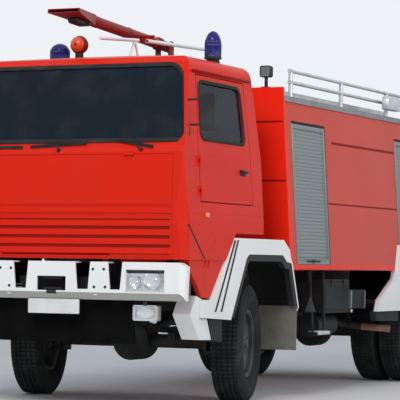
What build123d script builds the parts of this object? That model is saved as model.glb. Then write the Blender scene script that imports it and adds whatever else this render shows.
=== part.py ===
from build123d import *
from math import atan2, cos, degrees, radians, sin, tan
import os

# Fire engine with a short tilt-type cab over the engine, a locker body with the water tank between two
# pairs of roller shutters, single tyres in front, pairs behind and a water and foam monitor on the roof.
# Lengths are millimetres. While the pieces are modelled, X points to the vehicle's left, Y runs back from
# the bumper's front face and Z up from the ground. save() moves each piece so that Y is 0 at mid length.

# Overall sizes and axles
WHEELBASE = 4300
FRONT_OVERHANG = 1595
REAR_OVERHANG = 1305
LENGTH = FRONT_OVERHANG + WHEELBASE + REAR_OVERHANG
FRONT_AXLE_Y = FRONT_OVERHANG
REAR_AXLE_Y = FRONT_OVERHANG + WHEELBASE
TRACK = 1970
REAR_TRACK = 1822       # between the middles of the pairs of rear tyres
DUAL_GAP = 314          # between the middle planes of a pair
SEAT_GAP = 0.3          # clearance of a piece set in or on another
SHUT_GAP = 9            # gap round doors and flaps

# Wheels
TYRE_OD = 1044
TYRE_WIDTH = 286
TREAD_WIDTH = 232
RIM_OD = 600
RIM_SEAT_R = 284
RIM_WIDTH = 210
DISC_THICKNESS = 14
DISH_R = 214            # of the flat middle of the rear discs
HUB_R = 140
HUB_OUT = 70            # how far the hub stands out of the wheel's middle plane
HUB_IN = 95             # and how far it reaches in
HAND_HOLES = 8
SPINDLE_R = 45
BEARING_GAP = 0.08      # radial running clearance on spindles, king pins and trunnions
STEER_AS_PARKED = 12.5  # degrees to the left
KING_PIN_X = 810
KING_PIN_R = 20
WHEEL_Z = TYRE_OD / 2

# Chassis frame
FRAME_HALF = 430
RAIL_FLANGE = 80
RAIL_HEIGHT = 240
RAIL_PLATE = 8
FRAME_TOP = 1040
FRAME_BOTTOM = FRAME_TOP - RAIL_HEIGHT
FRAME_FRONT_Y = 240
FRAME_REAR_Y = LENGTH - 220
CROSS_MEMBER_D = 90
CROSS_MEMBER_YS = (420, 2150, 3150, 4250, 5000, FRAME_REAR_Y - 1230, FRAME_REAR_Y - 380)
SPRING_X = FRAME_HALF - RAIL_FLANGE / 2
AXLE_TUBE_R = 62
DIFF_R = 178
DIFF_HALF = 120
FLANGE = 18

# Cab
WALL = 45
CAB_FRONT_Y = 30
CAB_REAR_Y = 1655
CAB_FLOOR_Z = 1255
CAB_STEP_UP_Z = 1490
CAB_FLOOR_REAR_Y = 880
CAB_RISER_Y = 1058
CAB_CREASE_Z = 1600
FRONT_CREASE_Z = 1640
FRONT_LEAN = 20         # how far the front leans back from its crease to the belt
SKIRT_LEAN = 25         # and from the crease down to the floor
CAB_BELT_Z = 2150
CAB_DRIP_Z = 2850
CAB_ROOF_Z = 3032
CAB_LOW_HALF = 1225
CAB_BELT_HALF = 1190
CAB_DRIP_HALF = 1098
CAB_CORNER_R = 105
ROOF_EDGE_R = 120
CROWN_RISE = 60
SCREEN_LOW_Z = 2240
SCREEN_TOP_Z = 2905
SCREEN_LOW_HALF = 1168
SCREEN_TOP_HALF = 1040
SCREEN_LOW_Y = 100
SCREEN_TOP_Y = 365
SCREEN_LOW_R = 65
SCREEN_TOP_R = 135
SCREEN_WRAP = 75        # how far the windscreen bends round the cab's corners
GLASS = 6
GLASS_INSET = 12
DOOR_FRONT_Y = 350
DOOR_REAR_Y = 1430
DOOR_LOW_Z = 1738
DOOR_TOP_Z = 2825
WINDOW_CORNER_R = 70
FLAP_HALF = 1110
FLAP_DEPTH_Y = 105
FLAP_LOW_Z = 1266
FLAP_TOP_Z = 2130
GRILLE_HALF = 1085
GRILLE_OPEN_HALF = 520  # outside this the slats only stand in a shallow recess
GRILLE_RECESS = 14
GRILLE_LOW_Z = 1285
GRILLE_TOP_Z = 1590
SLAT_COUNT = 4
SEAM_WIDTH = 6
SEAM_DEPTH = 3
CAB_SEAM_ZS = (1645, DOOR_LOW_Z + SEAM_WIDTH / 2)
FLAP_GROOVE_ZS = (1632, 1699)
FLAP_GROOVE = 16        # width of the two grooves over the grille
FLAP_GROOVE_DEPTH = 8

# Bumper
BUMPER_HALF = 1242
BUMPER_LOW_Z = 913
BUMPER_TOP_Z = 1230
BUMPER_TOP_DEPTH = 110
BUMPER_LOW_DEPTH = 80
BUMPER_END_Z = 1196     # top of the bumper at its ends
BUMPER_END_SLOPE = 60
BEAM = 30               # thickness of the cross beams at the frame's ends
BUMPER_PLATE = 12
LIP_HEIGHT = 60
LIP_SET_BACK = 45

# Locker body
BODY_FRONT_Y = 2280
BODY_REAR_Y = LENGTH - 140
BODY_LOW_Z = 1180
BODY_TOP_Z = 2735
BODY_LOW_HALF = 1232
BODY_TOP_HALF = 1134
BODY_WALL = 40
PLATFORM = 45
ROOF_SLAB = 52
ROOF_OVERHANG = 14
ROOF_TOP_Z = BODY_TOP_Z + ROOF_SLAB
PARAPET_TOP_Z = ROOF_TOP_Z + 78
PARAPET = 20
SHUTTER_TOP_Z = BODY_TOP_Z - 195
SHUTTER_THICKNESS = 18
SHUTTER_SET_BACK = 12
SIDE_SEAM_ZS = (1820, 2420)
SIDE_SEAM_YS = (3390, 5130)
FRONT_SEAM_ZS = (2006, 2542)

# Mudguards
GUARD_TOP_Z = 1450
ARCH_TOP_Z = 1312
GUARD_OUT = 1243
GUARD_IN = 790
REAR_GUARD_IN = 590     # over the pairs of tyres
GUARD_SHEET = 12
GUARD_SKIRT = 52
GUARD_TOE_Z = 765
GUARD_CAB_GAP = 3
GUARD_END_Z = 828       # where a front mudguard ends behind the wheel
ARCH_LIP = 58           # width of the rubber lip round the front arches

# Monitor on the roof
MONITOR_X = -160
MONITOR_Y = 2420
MONITOR_AXIS_Z = ROOF_TOP_Z + 508
MONITOR_RAISED = 3.1    # degrees by which the barrel points up as it rests
BARREL_R = 51
BARREL_BORE_R = 42
NECK_REACH = 1490       # from the trunnions to the neck of the deflector
MOUTH_REACH = 1998


def block(x0, x1, y0, y1, z0, z1):
    """A box given by its two corners."""
    return Pos((x0 + x1) / 2, (y0 + y1) / 2, (z0 + z1) / 2) * Box(abs(x1 - x0), abs(y1 - y0), abs(z1 - z0))


def outline(points):
    """A face with straight sides through the points."""
    return make_face(Polyline(*points, close=True))


def across(face, x0, x1):
    """A side view face (y, z) stretched from x0 to x1."""
    return extrude(Plane.YZ.offset(x0) * face, x1 - x0)


def along(face, y0, y1):
    """A front view face (x, z) stretched from y0 to y1."""
    return extrude(Plane.XZ.offset(-y0) * face, -(y1 - y0))


def upright(face, z0, z1):
    """A plan view face (x, y) stretched from z0 to z1."""
    return extrude(Plane.XY.offset(z0) * face, z1 - z0)


def rod(start, end, radius):
    """A round bar between two points."""
    way = Vector(*end) - Vector(*start)
    return Plane(origin=start, z_dir=way) * Cylinder(radius, way.length, align=(Align.CENTER, Align.CENTER, Align.MIN))


def other_side(shape):
    """The same piece on the other side of the vehicle."""
    return mirror(shape, Plane.YZ)


def both_sides(shape):
    """A left piece with its mirror image."""
    return [shape, other_side(shape)]


def fused(pieces):
    """One solid from pieces that touch or overlap."""
    return pieces[0].fuse(*pieces[1:]).clean() if len(pieces) > 1 else pieces[0]


nodes = {}


def save(name, *pieces):
    """Keeps a node's solids in the frame of the finished part."""
    solids = [s for p in pieces for s in p.solids()]
    moved = [s.moved(Location((0, -LENGTH / 2, 0))) for s in solids]
    nodes[name] = moved[0] if len(moved) == 1 else Compound(children=moved)


# Chassis frame: two channel rails, open to the inside, joined by tubes
def chassis_frame():
    rail_section = outline([
        (FRAME_HALF, FRAME_BOTTOM), (FRAME_HALF, FRAME_TOP), (FRAME_HALF - RAIL_FLANGE, FRAME_TOP),
        (FRAME_HALF - RAIL_FLANGE, FRAME_TOP - RAIL_PLATE), (FRAME_HALF - RAIL_PLATE, FRAME_TOP - RAIL_PLATE),
        (FRAME_HALF - RAIL_PLATE, FRAME_BOTTOM + RAIL_PLATE),
        (FRAME_HALF - RAIL_FLANGE, FRAME_BOTTOM + RAIL_PLATE), (FRAME_HALF - RAIL_FLANGE, FRAME_BOTTOM)])
    rail = along(rail_section, FRAME_FRONT_Y, FRAME_REAR_Y)
    reach = FRAME_HALF - RAIL_PLATE / 2
    middle_z = FRAME_TOP - RAIL_HEIGHT / 2
    members = [rod((-reach, y, middle_z), (reach, y, middle_z), CROSS_MEMBER_D / 2) for y in CROSS_MEMBER_YS]
    return fused([rail, other_side(rail)] + members)


save("frame", chassis_frame())


# Leaf springs: a pack of leaves over each axle, hung from two hangers under the rail
LEAF_WIDTH = 76
LEAF_THICKNESS = 14
LEAF_HALF_LENGTHS = (620, 520, 400, 280)
SPRING_SAG = 60
AXLE_PAD_Z = WHEEL_Z + AXLE_TUBE_R + 14


def leaf_spring(axle_y):
    pack = LEAF_THICKNESS * len(LEAF_HALF_LENGTHS)
    top = AXLE_PAD_Z + pack
    pieces = []
    for level, half in enumerate(LEAF_HALF_LENGTHS):
        z = top - LEAF_THICKNESS * level
        rise = SPRING_SAG * (half / LEAF_HALF_LENGTHS[0]) ** 2
        upper = ThreePointArc((axle_y - half, z + rise), (axle_y, z), (axle_y + half, z + rise))
        lower = ThreePointArc((axle_y + half, z + rise - LEAF_THICKNESS), (axle_y, z - LEAF_THICKNESS),
                              (axle_y - half, z + rise - LEAF_THICKNESS))
        ends = [Line((axle_y + half, z + rise), (axle_y + half, z + rise - LEAF_THICKNESS)),
                Line((axle_y - half, z + rise - LEAF_THICKNESS), (axle_y - half, z + rise))]
        face = make_face(Curve() + [upper, ends[0], lower, ends[1]])
        pieces.append(across(face, SPRING_X - LEAF_WIDTH / 2, SPRING_X + LEAF_WIDTH / 2))
    eye_z = top + SPRING_SAG - LEAF_THICKNESS / 2
    for side in (-1, 1):
        y = axle_y + side * LEAF_HALF_LENGTHS[0]
        pieces.append(block(SPRING_X - LEAF_WIDTH / 2, SPRING_X + LEAF_WIDTH / 2, y - 32, y + 32,
                            eye_z - 30, FRAME_BOTTOM))
    return fused(pieces)


save("leaf_springs", *[s for y in (FRONT_AXLE_Y, REAR_AXLE_Y) for s in both_sides(leaf_spring(y))])


# Axles: a tube with a differential housing. The front one ends in forks for the king pins.
FORK_EAR = 34
FORK_GAP = 150
FORK_R = 58
KNUCKLE_PLAY = 1.0


def axle_housing(y, reach):
    tube_piece = rod((-reach, y, WHEEL_Z), (reach, y, WHEEL_Z), AXLE_TUBE_R)
    drum = rod((0, y - DIFF_HALF, WHEEL_Z), (0, y + DIFF_HALF, WHEEL_Z), DIFF_R)
    pads = [block(side * SPRING_X - LEAF_WIDTH / 2, side * SPRING_X + LEAF_WIDTH / 2, y - 70, y + 70,
                  WHEEL_Z, AXLE_PAD_Z) for side in (-1, 1)]
    return [tube_piece, drum] + pads


def front_axle():
    fork_back_x = KING_PIN_X - FORK_R - 20
    pieces = axle_housing(FRONT_AXLE_Y, fork_back_x)
    half = FORK_GAP / 2 + FORK_EAR
    for side in (-1, 1):
        x = side * KING_PIN_X
        back = block(side * (fork_back_x - 30), side * fork_back_x, FRONT_AXLE_Y - FORK_R, FRONT_AXLE_Y + FORK_R,
                     WHEEL_Z - half, WHEEL_Z + half)
        pieces.append(back)
        for end in (-1, 1):
            z0 = WHEEL_Z + end * FORK_GAP / 2
            z1 = WHEEL_Z + end * half
            ear = rod((x, FRONT_AXLE_Y, z0), (x, FRONT_AXLE_Y, z1), FORK_R)
            web = block(side * (fork_back_x - 1), x, FRONT_AXLE_Y - FORK_R, FRONT_AXLE_Y + FORK_R, z0, z1)
            pieces += [ear, web]
        pieces.append(rod((x, FRONT_AXLE_Y, WHEEL_Z - half), (x, FRONT_AXLE_Y, WHEEL_Z + half), KING_PIN_R))
    return fused(pieces)


def spindle_end_x(track):
    return track / 2 + HUB_OUT - 30


def rear_axle():
    pieces = axle_housing(REAR_AXLE_Y, REAR_TRACK / 2 - HUB_IN - 2)
    end_x = spindle_end_x(REAR_TRACK)
    pieces.append(rod((-end_x, REAR_AXLE_Y, WHEEL_Z), (end_x, REAR_AXLE_Y, WHEEL_Z), SPINDLE_R))
    return fused(pieces)


save("front_axle", front_axle())
save("rear_axle", rear_axle())


# Knuckles: a boss on the king pin, a spindle for the wheel and an arm for the track rod
def steered(shape, side):
    """Turns a piece about its king pin to the angle at which the vehicle is parked."""
    pin = Location((side * KING_PIN_X, FRONT_AXLE_Y, WHEEL_Z))
    return shape.moved(pin * Location((0, 0, 0), (0, 0, STEER_AS_PARKED)) * pin.inverse())


def knuckle(side):
    x = side * KING_PIN_X
    half = FORK_GAP / 2 - KNUCKLE_PLAY
    boss = rod((x, FRONT_AXLE_Y, WHEEL_Z - half), (x, FRONT_AXLE_Y, WHEEL_Z + half), FORK_R)
    spindle = rod((x, FRONT_AXLE_Y, WHEEL_Z), (side * spindle_end_x(TRACK), FRONT_AXLE_Y, WHEEL_Z), SPINDLE_R)
    arm = block(x - 16, x + 16, FRONT_AXLE_Y, FRONT_AXLE_Y + 190, WHEEL_Z - 60, WHEEL_Z - 28)
    bore = rod((x, FRONT_AXLE_Y, WHEEL_Z - half - 5), (x, FRONT_AXLE_Y, WHEEL_Z + half + 5),
               KING_PIN_R + BEARING_GAP)
    return steered(fused([boss, spindle, arm]) - bore, side)


save("knuckle_left", knuckle(1))
save("knuckle_right", knuckle(-1))


# Wheels: the tyre and the rim are turned sections, both about the X axis
def turned(face):
    """A section (x, radius) turned about the X axis."""
    return revolve(face, Axis.X)


def tyre():
    half = TYRE_WIDTH / 2
    tread = TREAD_WIDTH / 2
    radius = TYRE_OD / 2
    bead = RIM_SEAT_R + SEAT_GAP
    bead_half = RIM_WIDTH / 2 - 22
    bulge_r = (radius + bead) / 2
    shoulder = 22
    over_flange = RIM_OD / 2 + 1
    right = [Line((bead_half, bead), (bead_half + 2, over_flange)),
             ThreePointArc((bead_half + 2, over_flange), (half, bulge_r), (tread + 10, radius - shoulder)),
             Line((tread + 10, radius - shoulder), (tread, radius - 2)),
             ThreePointArc((tread, radius - 2), (0, radius), (-tread, radius - 2))]
    left = [Line((-tread, radius - 2), (-tread - 10, radius - shoulder)),
            ThreePointArc((-tread - 10, radius - shoulder), (-half, bulge_r), (-bead_half - 2, over_flange)),
            Line((-bead_half - 2, over_flange), (-bead_half, bead)),
            Line((-bead_half, bead), (bead_half, bead))]
    return turned(make_face(Curve() + right + left))


def rim():
    half = RIM_WIDTH / 2
    seat = RIM_SEAT_R
    flange = RIM_OD / 2
    disc_in = 20
    hub_in = -HUB_IN
    section = outline([
        (-half, flange - 12), (-half, flange), (-half + 14, flange), (-half + 17.5, seat), (half - 17.5, seat),
        (half - 14, flange), (half, flange), (half, flange - 12), (half - 12, seat - 14), (60, seat - 16),
        (disc_in + DISC_THICKNESS, seat - 60), (disc_in + DISC_THICKNESS, HUB_R + 8), (HUB_OUT - 18, HUB_R),
        (HUB_OUT, HUB_R - 30), (HUB_OUT, 0), (hub_in, 0), (hub_in, HUB_R - 40), (disc_in - 10, HUB_R),
        (disc_in, HUB_R + 10), (disc_in, seat - 50), (20, seat - 16), (-half + 12, seat - 14)])
    wheel = turned(section)
    hole_ring = (RIM_SEAT_R - 60 + HUB_R) / 2
    for n in range(HAND_HOLES):
        turn = 360 / HAND_HOLES * n
        hole = Rot(X=turn) * Pos(disc_in, hole_ring, 0) * Rot(Y=90) * Cylinder(22, 80)
        wheel = wheel - hole
    bore = rod((hub_in - 5, 0, 0), (HUB_OUT - 28, 0, 0), SPINDLE_R + BEARING_GAP)
    return wheel - bore


def paired_rims():
    """Two rims bolted back to back on one hub."""
    seat = RIM_SEAT_R
    flange = RIM_OD / 2
    start = (DUAL_GAP - RIM_WIDTH) / 2
    end = start + RIM_WIDTH
    outer = turned(outline([
        (start, flange - 12), (start, flange), (start + 14, flange), (start + 17.5, seat), (end - 17.5, seat),
        (end - 14, flange), (end, flange), (end, flange - 12), (end - 12, seat - 14), (start + 44, seat - 16),
        (start, seat - 60), (DISC_THICKNESS, DISH_R - 14), (DISC_THICKNESS, 0), (0, 0), (0, DISH_R),
        (start - 14, seat - 46), (start + 28, seat - 16), (start + 12, seat - 14)]))
    hub_end = HUB_OUT + 60
    hub = turned(outline([(-HUB_IN, 0), (-HUB_IN, HUB_R - 40), (-DISC_THICKNESS - 10, HUB_R),
                          (DISC_THICKNESS + 10, HUB_R), (hub_end - 20, HUB_R - 45), (hub_end, HUB_R - 55),
                          (hub_end, 0)]))
    wheel = fused([outer, other_side(outer), hub])
    hole_ring = (DISH_R - 14 + HUB_R) / 2
    for n in range(HAND_HOLES):
        turn = 360 / HAND_HOLES * n
        hole = Rot(X=turn) * Pos(0, hole_ring, 0) * Rot(Y=90) * Cylinder(20, 80)
        wheel = wheel - hole
    return wheel - rod((-HUB_IN - 5, 0, 0), (HUB_OUT - 28, 0, 0), SPINDLE_R + BEARING_GAP)


TYRE = tyre()
RIM = rim()
PAIRED_RIMS = paired_rims()
for name, side in (("left", 1), ("right", -1)):
    front_place = Pos(side * TRACK / 2, FRONT_AXLE_Y, WHEEL_Z)
    for piece, shape in (("tyre", TYRE), ("rim", RIM)):
        save(f"front_{name}_{piece}", steered(front_place * (shape if side > 0 else other_side(shape)), side))
    pair_x = side * REAR_TRACK / 2
    save(f"rear_{name}_tyre", *[Pos(pair_x + end * DUAL_GAP / 2, REAR_AXLE_Y, WHEEL_Z) * TYRE for end in (-1, 1)])
    rims = PAIRED_RIMS if side > 0 else other_side(PAIRED_RIMS)
    save(f"rear_{name}_rim", Pos(pair_x, REAR_AXLE_Y, WHEEL_Z) * rims)


# Engine under the cab with its gearbox, as plain blocks between the rails
def engine():
    body = block(-300, 300, 470, 1390, 770, 1225)
    gearbox = block(-180, 180, 1390, 1950, 780, 1090)
    sump = block(-170, 170, 560, 1150, 600, 770)
    arms = [block(side * 300, side * (FRAME_HALF - RAIL_PLATE), 700, 780, 860, 930) for side in (-1, 1)]
    return fused([body, gearbox, sump] + arms)


def radiator():
    core = block(-320, 320, 262, 330, 640, 1215)
    ears = [block(side * 320, side * (FRAME_HALF - RAIL_PLATE), 280, 312, 860, 930) for side in (-1, 1)]
    return fused([core] + ears)


save("engine", engine())
save("radiator", radiator())


# Transfer case hung from a cross tube, with the shafts to both axles
def driveline():
    case = block(-170, 170, 2360, 2760, 640, 900)
    hanger = block(-40, 40, 2120, 2400, 800, FRAME_TOP - RAIL_HEIGHT / 2 - CROSS_MEMBER_D / 2)
    shafts = []
    for case_y, axle_face, out in ((2380, FRONT_AXLE_Y + DIFF_HALF, 1), (2740, REAR_AXLE_Y - DIFF_HALF, -1)):
        z = WHEEL_Z + 40
        shafts.append(rod((0, axle_face, z), (0, axle_face + out * FLANGE, z), 58))
        shafts.append(rod((0, axle_face + out * FLANGE / 2, z), (0, case_y, 700), 42))
    top = rod((0, 1950, 820), (0, 2380, 820), 42)
    return fused([case, top, hanger] + shafts)


save("driveline", driveline())


# Cab body: the solid that remains where a side view, a front view and a plan view meet
def cab_solid(inset):
    def drawn_in(face):
        return offset(face, -inset, kind=Kind.INTERSECTION) if inset else face

    side = outline([
        (CAB_FRONT_Y + SKIRT_LEAN, CAB_FLOOR_Z), (CAB_FLOOR_REAR_Y, CAB_FLOOR_Z), (CAB_RISER_Y, CAB_STEP_UP_Z),
        (CAB_REAR_Y, CAB_STEP_UP_Z), (CAB_REAR_Y, CAB_BELT_Z), (CAB_REAR_Y - 35, CAB_ROOF_Z),
        (SCREEN_TOP_Y + 435, CAB_ROOF_Z), (SCREEN_TOP_Y + 55, CAB_ROOF_Z - 57), (SCREEN_TOP_Y, SCREEN_TOP_Z + 20),
        (SCREEN_LOW_Y, SCREEN_LOW_Z - 35), (CAB_FRONT_Y + FRONT_LEAN, CAB_BELT_Z),
        (CAB_FRONT_Y, FRONT_CREASE_Z)])
    right = [(CAB_LOW_HALF, CAB_FLOOR_Z), (CAB_LOW_HALF, CAB_CREASE_Z), (CAB_BELT_HALF, CAB_BELT_Z),
             (CAB_DRIP_HALF, CAB_DRIP_Z), (CAB_DRIP_HALF - 22, CAB_ROOF_Z - CROWN_RISE)]
    left = [(-x, z) for x, z in reversed(right)]
    crown = ThreePointArc(right[-1], (0, CAB_ROOF_Z), left[0])
    front = make_face(Curve() + [Polyline(*right), crown, Polyline(*left), Line(left[-1], right[0])])
    roof_corners = [v for v in front.vertices() if abs(v.Y - right[-1][1]) < 1]
    front = fillet(roof_corners, ROOF_EDGE_R)
    plan = Pos(0, (CAB_FRONT_Y + CAB_REAR_Y) / 2) * Rectangle(2 * CAB_LOW_HALF, CAB_REAR_Y - CAB_FRONT_Y)
    plan = fillet([v for v in plan.vertices() if v.Y < 500], CAB_CORNER_R)
    reach = CAB_LOW_HALF - inset
    return (across(drawn_in(side), -reach, reach)
            & along(drawn_in(front), CAB_FRONT_Y, CAB_REAR_Y)
            & upright(drawn_in(plan), CAB_FLOOR_Z, CAB_ROOF_Z + 10))


def rounded(points, radius):
    """A face with straight sides whose corners are all rounded."""
    face = outline(points)
    return fillet(face.vertices(), radius)


def screen_space(gap):
    """What the windscreen takes out of the cab. It ends where the corners turn into the sides."""
    face = outline([(SCREEN_LOW_HALF, SCREEN_LOW_Z), (SCREEN_TOP_HALF, SCREEN_TOP_Z),
                    (-SCREEN_TOP_HALF, SCREEN_TOP_Z), (-SCREEN_LOW_HALF, SCREEN_LOW_Z)])
    for z, radius in ((SCREEN_LOW_Z, SCREEN_LOW_R), (SCREEN_TOP_Z, SCREEN_TOP_R)):
        face = fillet([v for v in face.vertices() if abs(v.Y - z) < 1], radius)
    lean = (SCREEN_TOP_Y - SCREEN_LOW_Y) / (SCREEN_TOP_Z + 20 - SCREEN_LOW_Z + 35)
    z0, z1 = SCREEN_LOW_Z - 135, SCREEN_TOP_Z + 120
    depth = SCREEN_WRAP - gap
    slab = outline([(-100, z0), (SCREEN_LOW_Y - 100 * lean + depth, z0), (SCREEN_TOP_Y + 100 * lean + depth, z1),
                    (-100, z1)])
    return along(offset(face, -gap), -50, 700) & across(slab, -1400, 1400)


def door_face(gap):
    return offset(outline([(DOOR_FRONT_Y, DOOR_LOW_Z), (DOOR_REAR_Y, DOOR_LOW_Z), (DOOR_REAR_Y, DOOR_TOP_Z),
                           (DOOR_FRONT_Y + 95, DOOR_TOP_Z), (DOOR_FRONT_Y, CAB_BELT_Z + 50)]), -gap,
                  kind=Kind.INTERSECTION)


def door_window_face(gap):
    return offset(rounded([(430, 2272), (1330, 2272), (1330, 2762), (492, 2762)], WINDOW_CORNER_R), -gap)


def rear_window_face(gap):
    return offset(rounded([(-620, 2290), (620, 2290), (620, 2740), (-620, 2740)], 60), -gap)


FLAP_FACE = outline([(-FLAP_HALF, FLAP_LOW_Z), (FLAP_HALF, FLAP_LOW_Z), (FLAP_HALF, FLAP_TOP_Z),
                     (-FLAP_HALF, FLAP_TOP_Z)])
CAB_OUTER = cab_solid(0)
CAB_SKIN = CAB_OUTER - cab_solid(WALL)
GLASS_SKIN = cab_solid(GLASS_INSET) - cab_solid(GLASS_INSET + GLASS)
SEAM_SKIN = CAB_OUTER - cab_solid(SEAM_DEPTH)


# Hinges: the ends of each belong to the cab with the pin, the middle to the door or the flap. The door's
# two pins stand in line and lean as the lower half of the door does.
HINGE_OUT = 14          # from the skin to the pin's axis
HINGE_R = 10
HINGE_PIN_R = 5.5
HINGE_LENGTH = 84
HINGE_MIDDLE = 28
HINGE_PLAY = 1
HINGE_LEAF = (-17, -5)  # from the pin's axis inwards
HINGE_REACH = 40
DOOR_HINGE_ZS = (1830, 2080)
FLAP_HINGE_X = 700
DOOR_LEAN = degrees(atan2(CAB_LOW_HALF - CAB_BELT_HALF, CAB_BELT_Z - CAB_CREASE_Z))


def hinge_half(of_cab):
    """One half of a hinge with its pin on the Z axis, the skin at x = -HINGE_OUT and the door towards +Y."""
    half, middle, gap = HINGE_LENGTH / 2, HINGE_MIDDLE / 2, SHUT_GAP / 2
    if not of_cab:
        whole = fused([rod((0, 0, -middle), (0, 0, middle), HINGE_R),
                       block(*HINGE_LEAF, gap, HINGE_REACH, -middle, middle)])
        return whole - rod((0, 0, -half), (0, 0, half), HINGE_PIN_R + BEARING_GAP)
    pieces = [rod((0, 0, -half), (0, 0, half), HINGE_PIN_R)]
    for z0, z1 in ((-half, -middle - HINGE_PLAY), (middle + HINGE_PLAY, half)):
        pieces.append(rod((0, 0, z0), (0, 0, z1), HINGE_R))
        pieces.append(block(*HINGE_LEAF, -HINGE_REACH, -gap, z0, z1))
    return fused(pieces)


def door_hinges(of_cab):
    """The left door's hinges."""
    lean = radians(DOOR_LEAN)
    placed = []
    for z in DOOR_HINGE_ZS:
        skin_x = CAB_LOW_HALF - (z - CAB_CREASE_Z) * tan(lean)
        where = Pos(skin_x + HINGE_OUT * cos(lean), DOOR_FRONT_Y + SHUT_GAP / 2, z + HINGE_OUT * sin(lean))
        placed.append(where * Rot(Y=-DOOR_LEAN) * hinge_half(of_cab))
    return placed


def flap_hinges(of_cab):
    z = FLAP_TOP_Z - SHUT_GAP / 2
    y = CAB_FRONT_Y + FRONT_LEAN * (z - FRONT_CREASE_Z) / (CAB_BELT_Z - FRONT_CREASE_Z) - HINGE_OUT
    lying = Plane(origin=(0, y, z), x_dir=(0, -1, 0), z_dir=(1, 0, 0)).location * hinge_half(of_cab)
    lying = lying & block(-100, 100, -50, 100, z - 100, CAB_BELT_Z)
    return [Pos(side * FLAP_HINGE_X, 0, 0) * lying for side in (-1, 1)]


def cab_shell():
    shell = CAB_SKIN
    shell -= screen_space(0)
    shell -= along(rear_window_face(0), CAB_REAR_Y - 150, CAB_REAR_Y + 50)
    shell -= across(door_face(0), -1400, 1400)
    shell -= along(FLAP_FACE, -50, FLAP_DEPTH_Y)
    for z in CAB_SEAM_ZS:
        shell -= SEAM_SKIN & block(-1400, 1400, 150, CAB_REAR_Y + 5, z - SEAM_WIDTH / 2, z + SEAM_WIDTH / 2)
    hinges = [h for left in door_hinges(True) for h in both_sides(left)]
    return fused([shell] + hinges + flap_hinges(True))


def cab_door(side):
    door = CAB_SKIN & across(door_face(SHUT_GAP), side * 800, side * 1400)
    door -= across(door_window_face(0), side * 800, side * 1400)
    return fused([door] + [h if side > 0 else other_side(h) for h in door_hinges(False)])


def door_glass(side):
    return GLASS_SKIN & across(door_window_face(SEAT_GAP), side * 800, side * 1400)


save("cab_shell", cab_shell())
save("left_door", cab_door(1))
save("right_door", cab_door(-1))
save("left_door_glass", door_glass(1))
save("right_door_glass", door_glass(-1))
save("cab_glass", GLASS_SKIN & screen_space(SEAT_GAP),
     GLASS_SKIN & along(rear_window_face(SEAT_GAP), CAB_REAR_Y - 150, CAB_REAR_Y + 50))


# Front flap: the smooth panel over the grille, with slats between its side frames
def skirt_y(z):
    """How far back the cab's front face lies below its crease."""
    return CAB_FRONT_Y + SKIRT_LEAN * (FRONT_CREASE_Z - z) / (FRONT_CREASE_Z - CAB_FLOOR_Z)


def front_flap():
    panel = CAB_SKIN & along(offset(FLAP_FACE, -SHUT_GAP, kind=Kind.INTERSECTION), -50, FLAP_DEPTH_Y)
    grooved = CAB_OUTER - cab_solid(FLAP_GROOVE_DEPTH)
    for z in FLAP_GROOVE_ZS:
        panel -= grooved & block(-1200, 1200, -50, 400, z - FLAP_GROOVE / 2, z + FLAP_GROOVE / 2)
    opening = block(-GRILLE_OPEN_HALF, GRILLE_OPEN_HALF, -50, 400, GRILLE_LOW_Z, GRILLE_TOP_Z)
    recess = across(outline([(-50, GRILLE_LOW_Z), (skirt_y(GRILLE_LOW_Z) + GRILLE_RECESS, GRILLE_LOW_Z),
                             (skirt_y(GRILLE_TOP_Z) + GRILLE_RECESS, GRILLE_TOP_Z), (-50, GRILLE_TOP_Z)]),
                    -GRILLE_HALF, GRILLE_HALF)
    pitch = (GRILLE_TOP_Z - GRILLE_LOW_Z) / SLAT_COUNT
    slats = []
    for n in range(SLAT_COUNT):
        z = GRILLE_LOW_Z + 4 + pitch * n
        y = skirt_y(z) + 2
        blade = outline([(y + 34, z), (y, z + 14), (y, z + pitch - 14), (y + 8, z + pitch - 14), (y + 8, z + 18),
                         (y + 42, z + 4)])
        slats.append(across(blade, -GRILLE_HALF - 1, GRILLE_HALF + 1))
    return fused([panel - opening - recess] + slats + flap_hinges(False))


save("front_flap", front_flap())


# Cab fittings
def dashboard():
    face = outline([(110, 1760), (390, 1760), (420, 1900), (330, 2080), (110, 2110)])
    ends = across(face & Pos(160, 1950) * Rectangle(350, 500), -CAB_LOW_HALF, CAB_LOW_HALF)
    return fused([across(face, -1120, 1120), ends]) & cab_solid(WALL + SEAT_GAP)


STEERING_X = 560
STEERING_Z = 2020
STEERING_TILT = 28


def steering_wheel():
    ring = Torus(225, 15)
    spokes = [Rot(Z=turn) * Pos(112, 0, 0) * Box(225, 34, 10) for turn in (90, 210, 330)]
    hub = Cylinder(45, 40)
    column = Cylinder(28, 900, align=(Align.CENTER, Align.CENTER, Align.MAX))
    whole = Pos(STEERING_X, 640, STEERING_Z) * Rot(X=-STEERING_TILT) * fused([hub, column, ring] + spokes)
    return whole & block(0, 1100, 0, 1100, CAB_FLOOR_Z + WALL + SEAT_GAP, CAB_BELT_Z + 100)


SEATS = ((560, 500), (-30, 480), (-610, 500))  # centre across, width


def seats():
    pieces = []
    for x, width in SEATS:
        plinth = block(x - width / 2 + 60, x + width / 2 - 60, 1130, 1500, CAB_STEP_UP_Z + WALL, 1640)
        cushion = block(x - width / 2, x + width / 2, 960, 1530, 1640, 1760)
        back = across(outline([(1440, 1760), (1530, 1760), (1590, 2400), (1510, 2400)]), x - width / 2,
                      x + width / 2)
        pieces.append(fused([plinth, cushion, back]))
    return pieces


save("dashboard", dashboard())
save("steering_wheel", steering_wheel())
save("seats", *seats())


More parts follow.
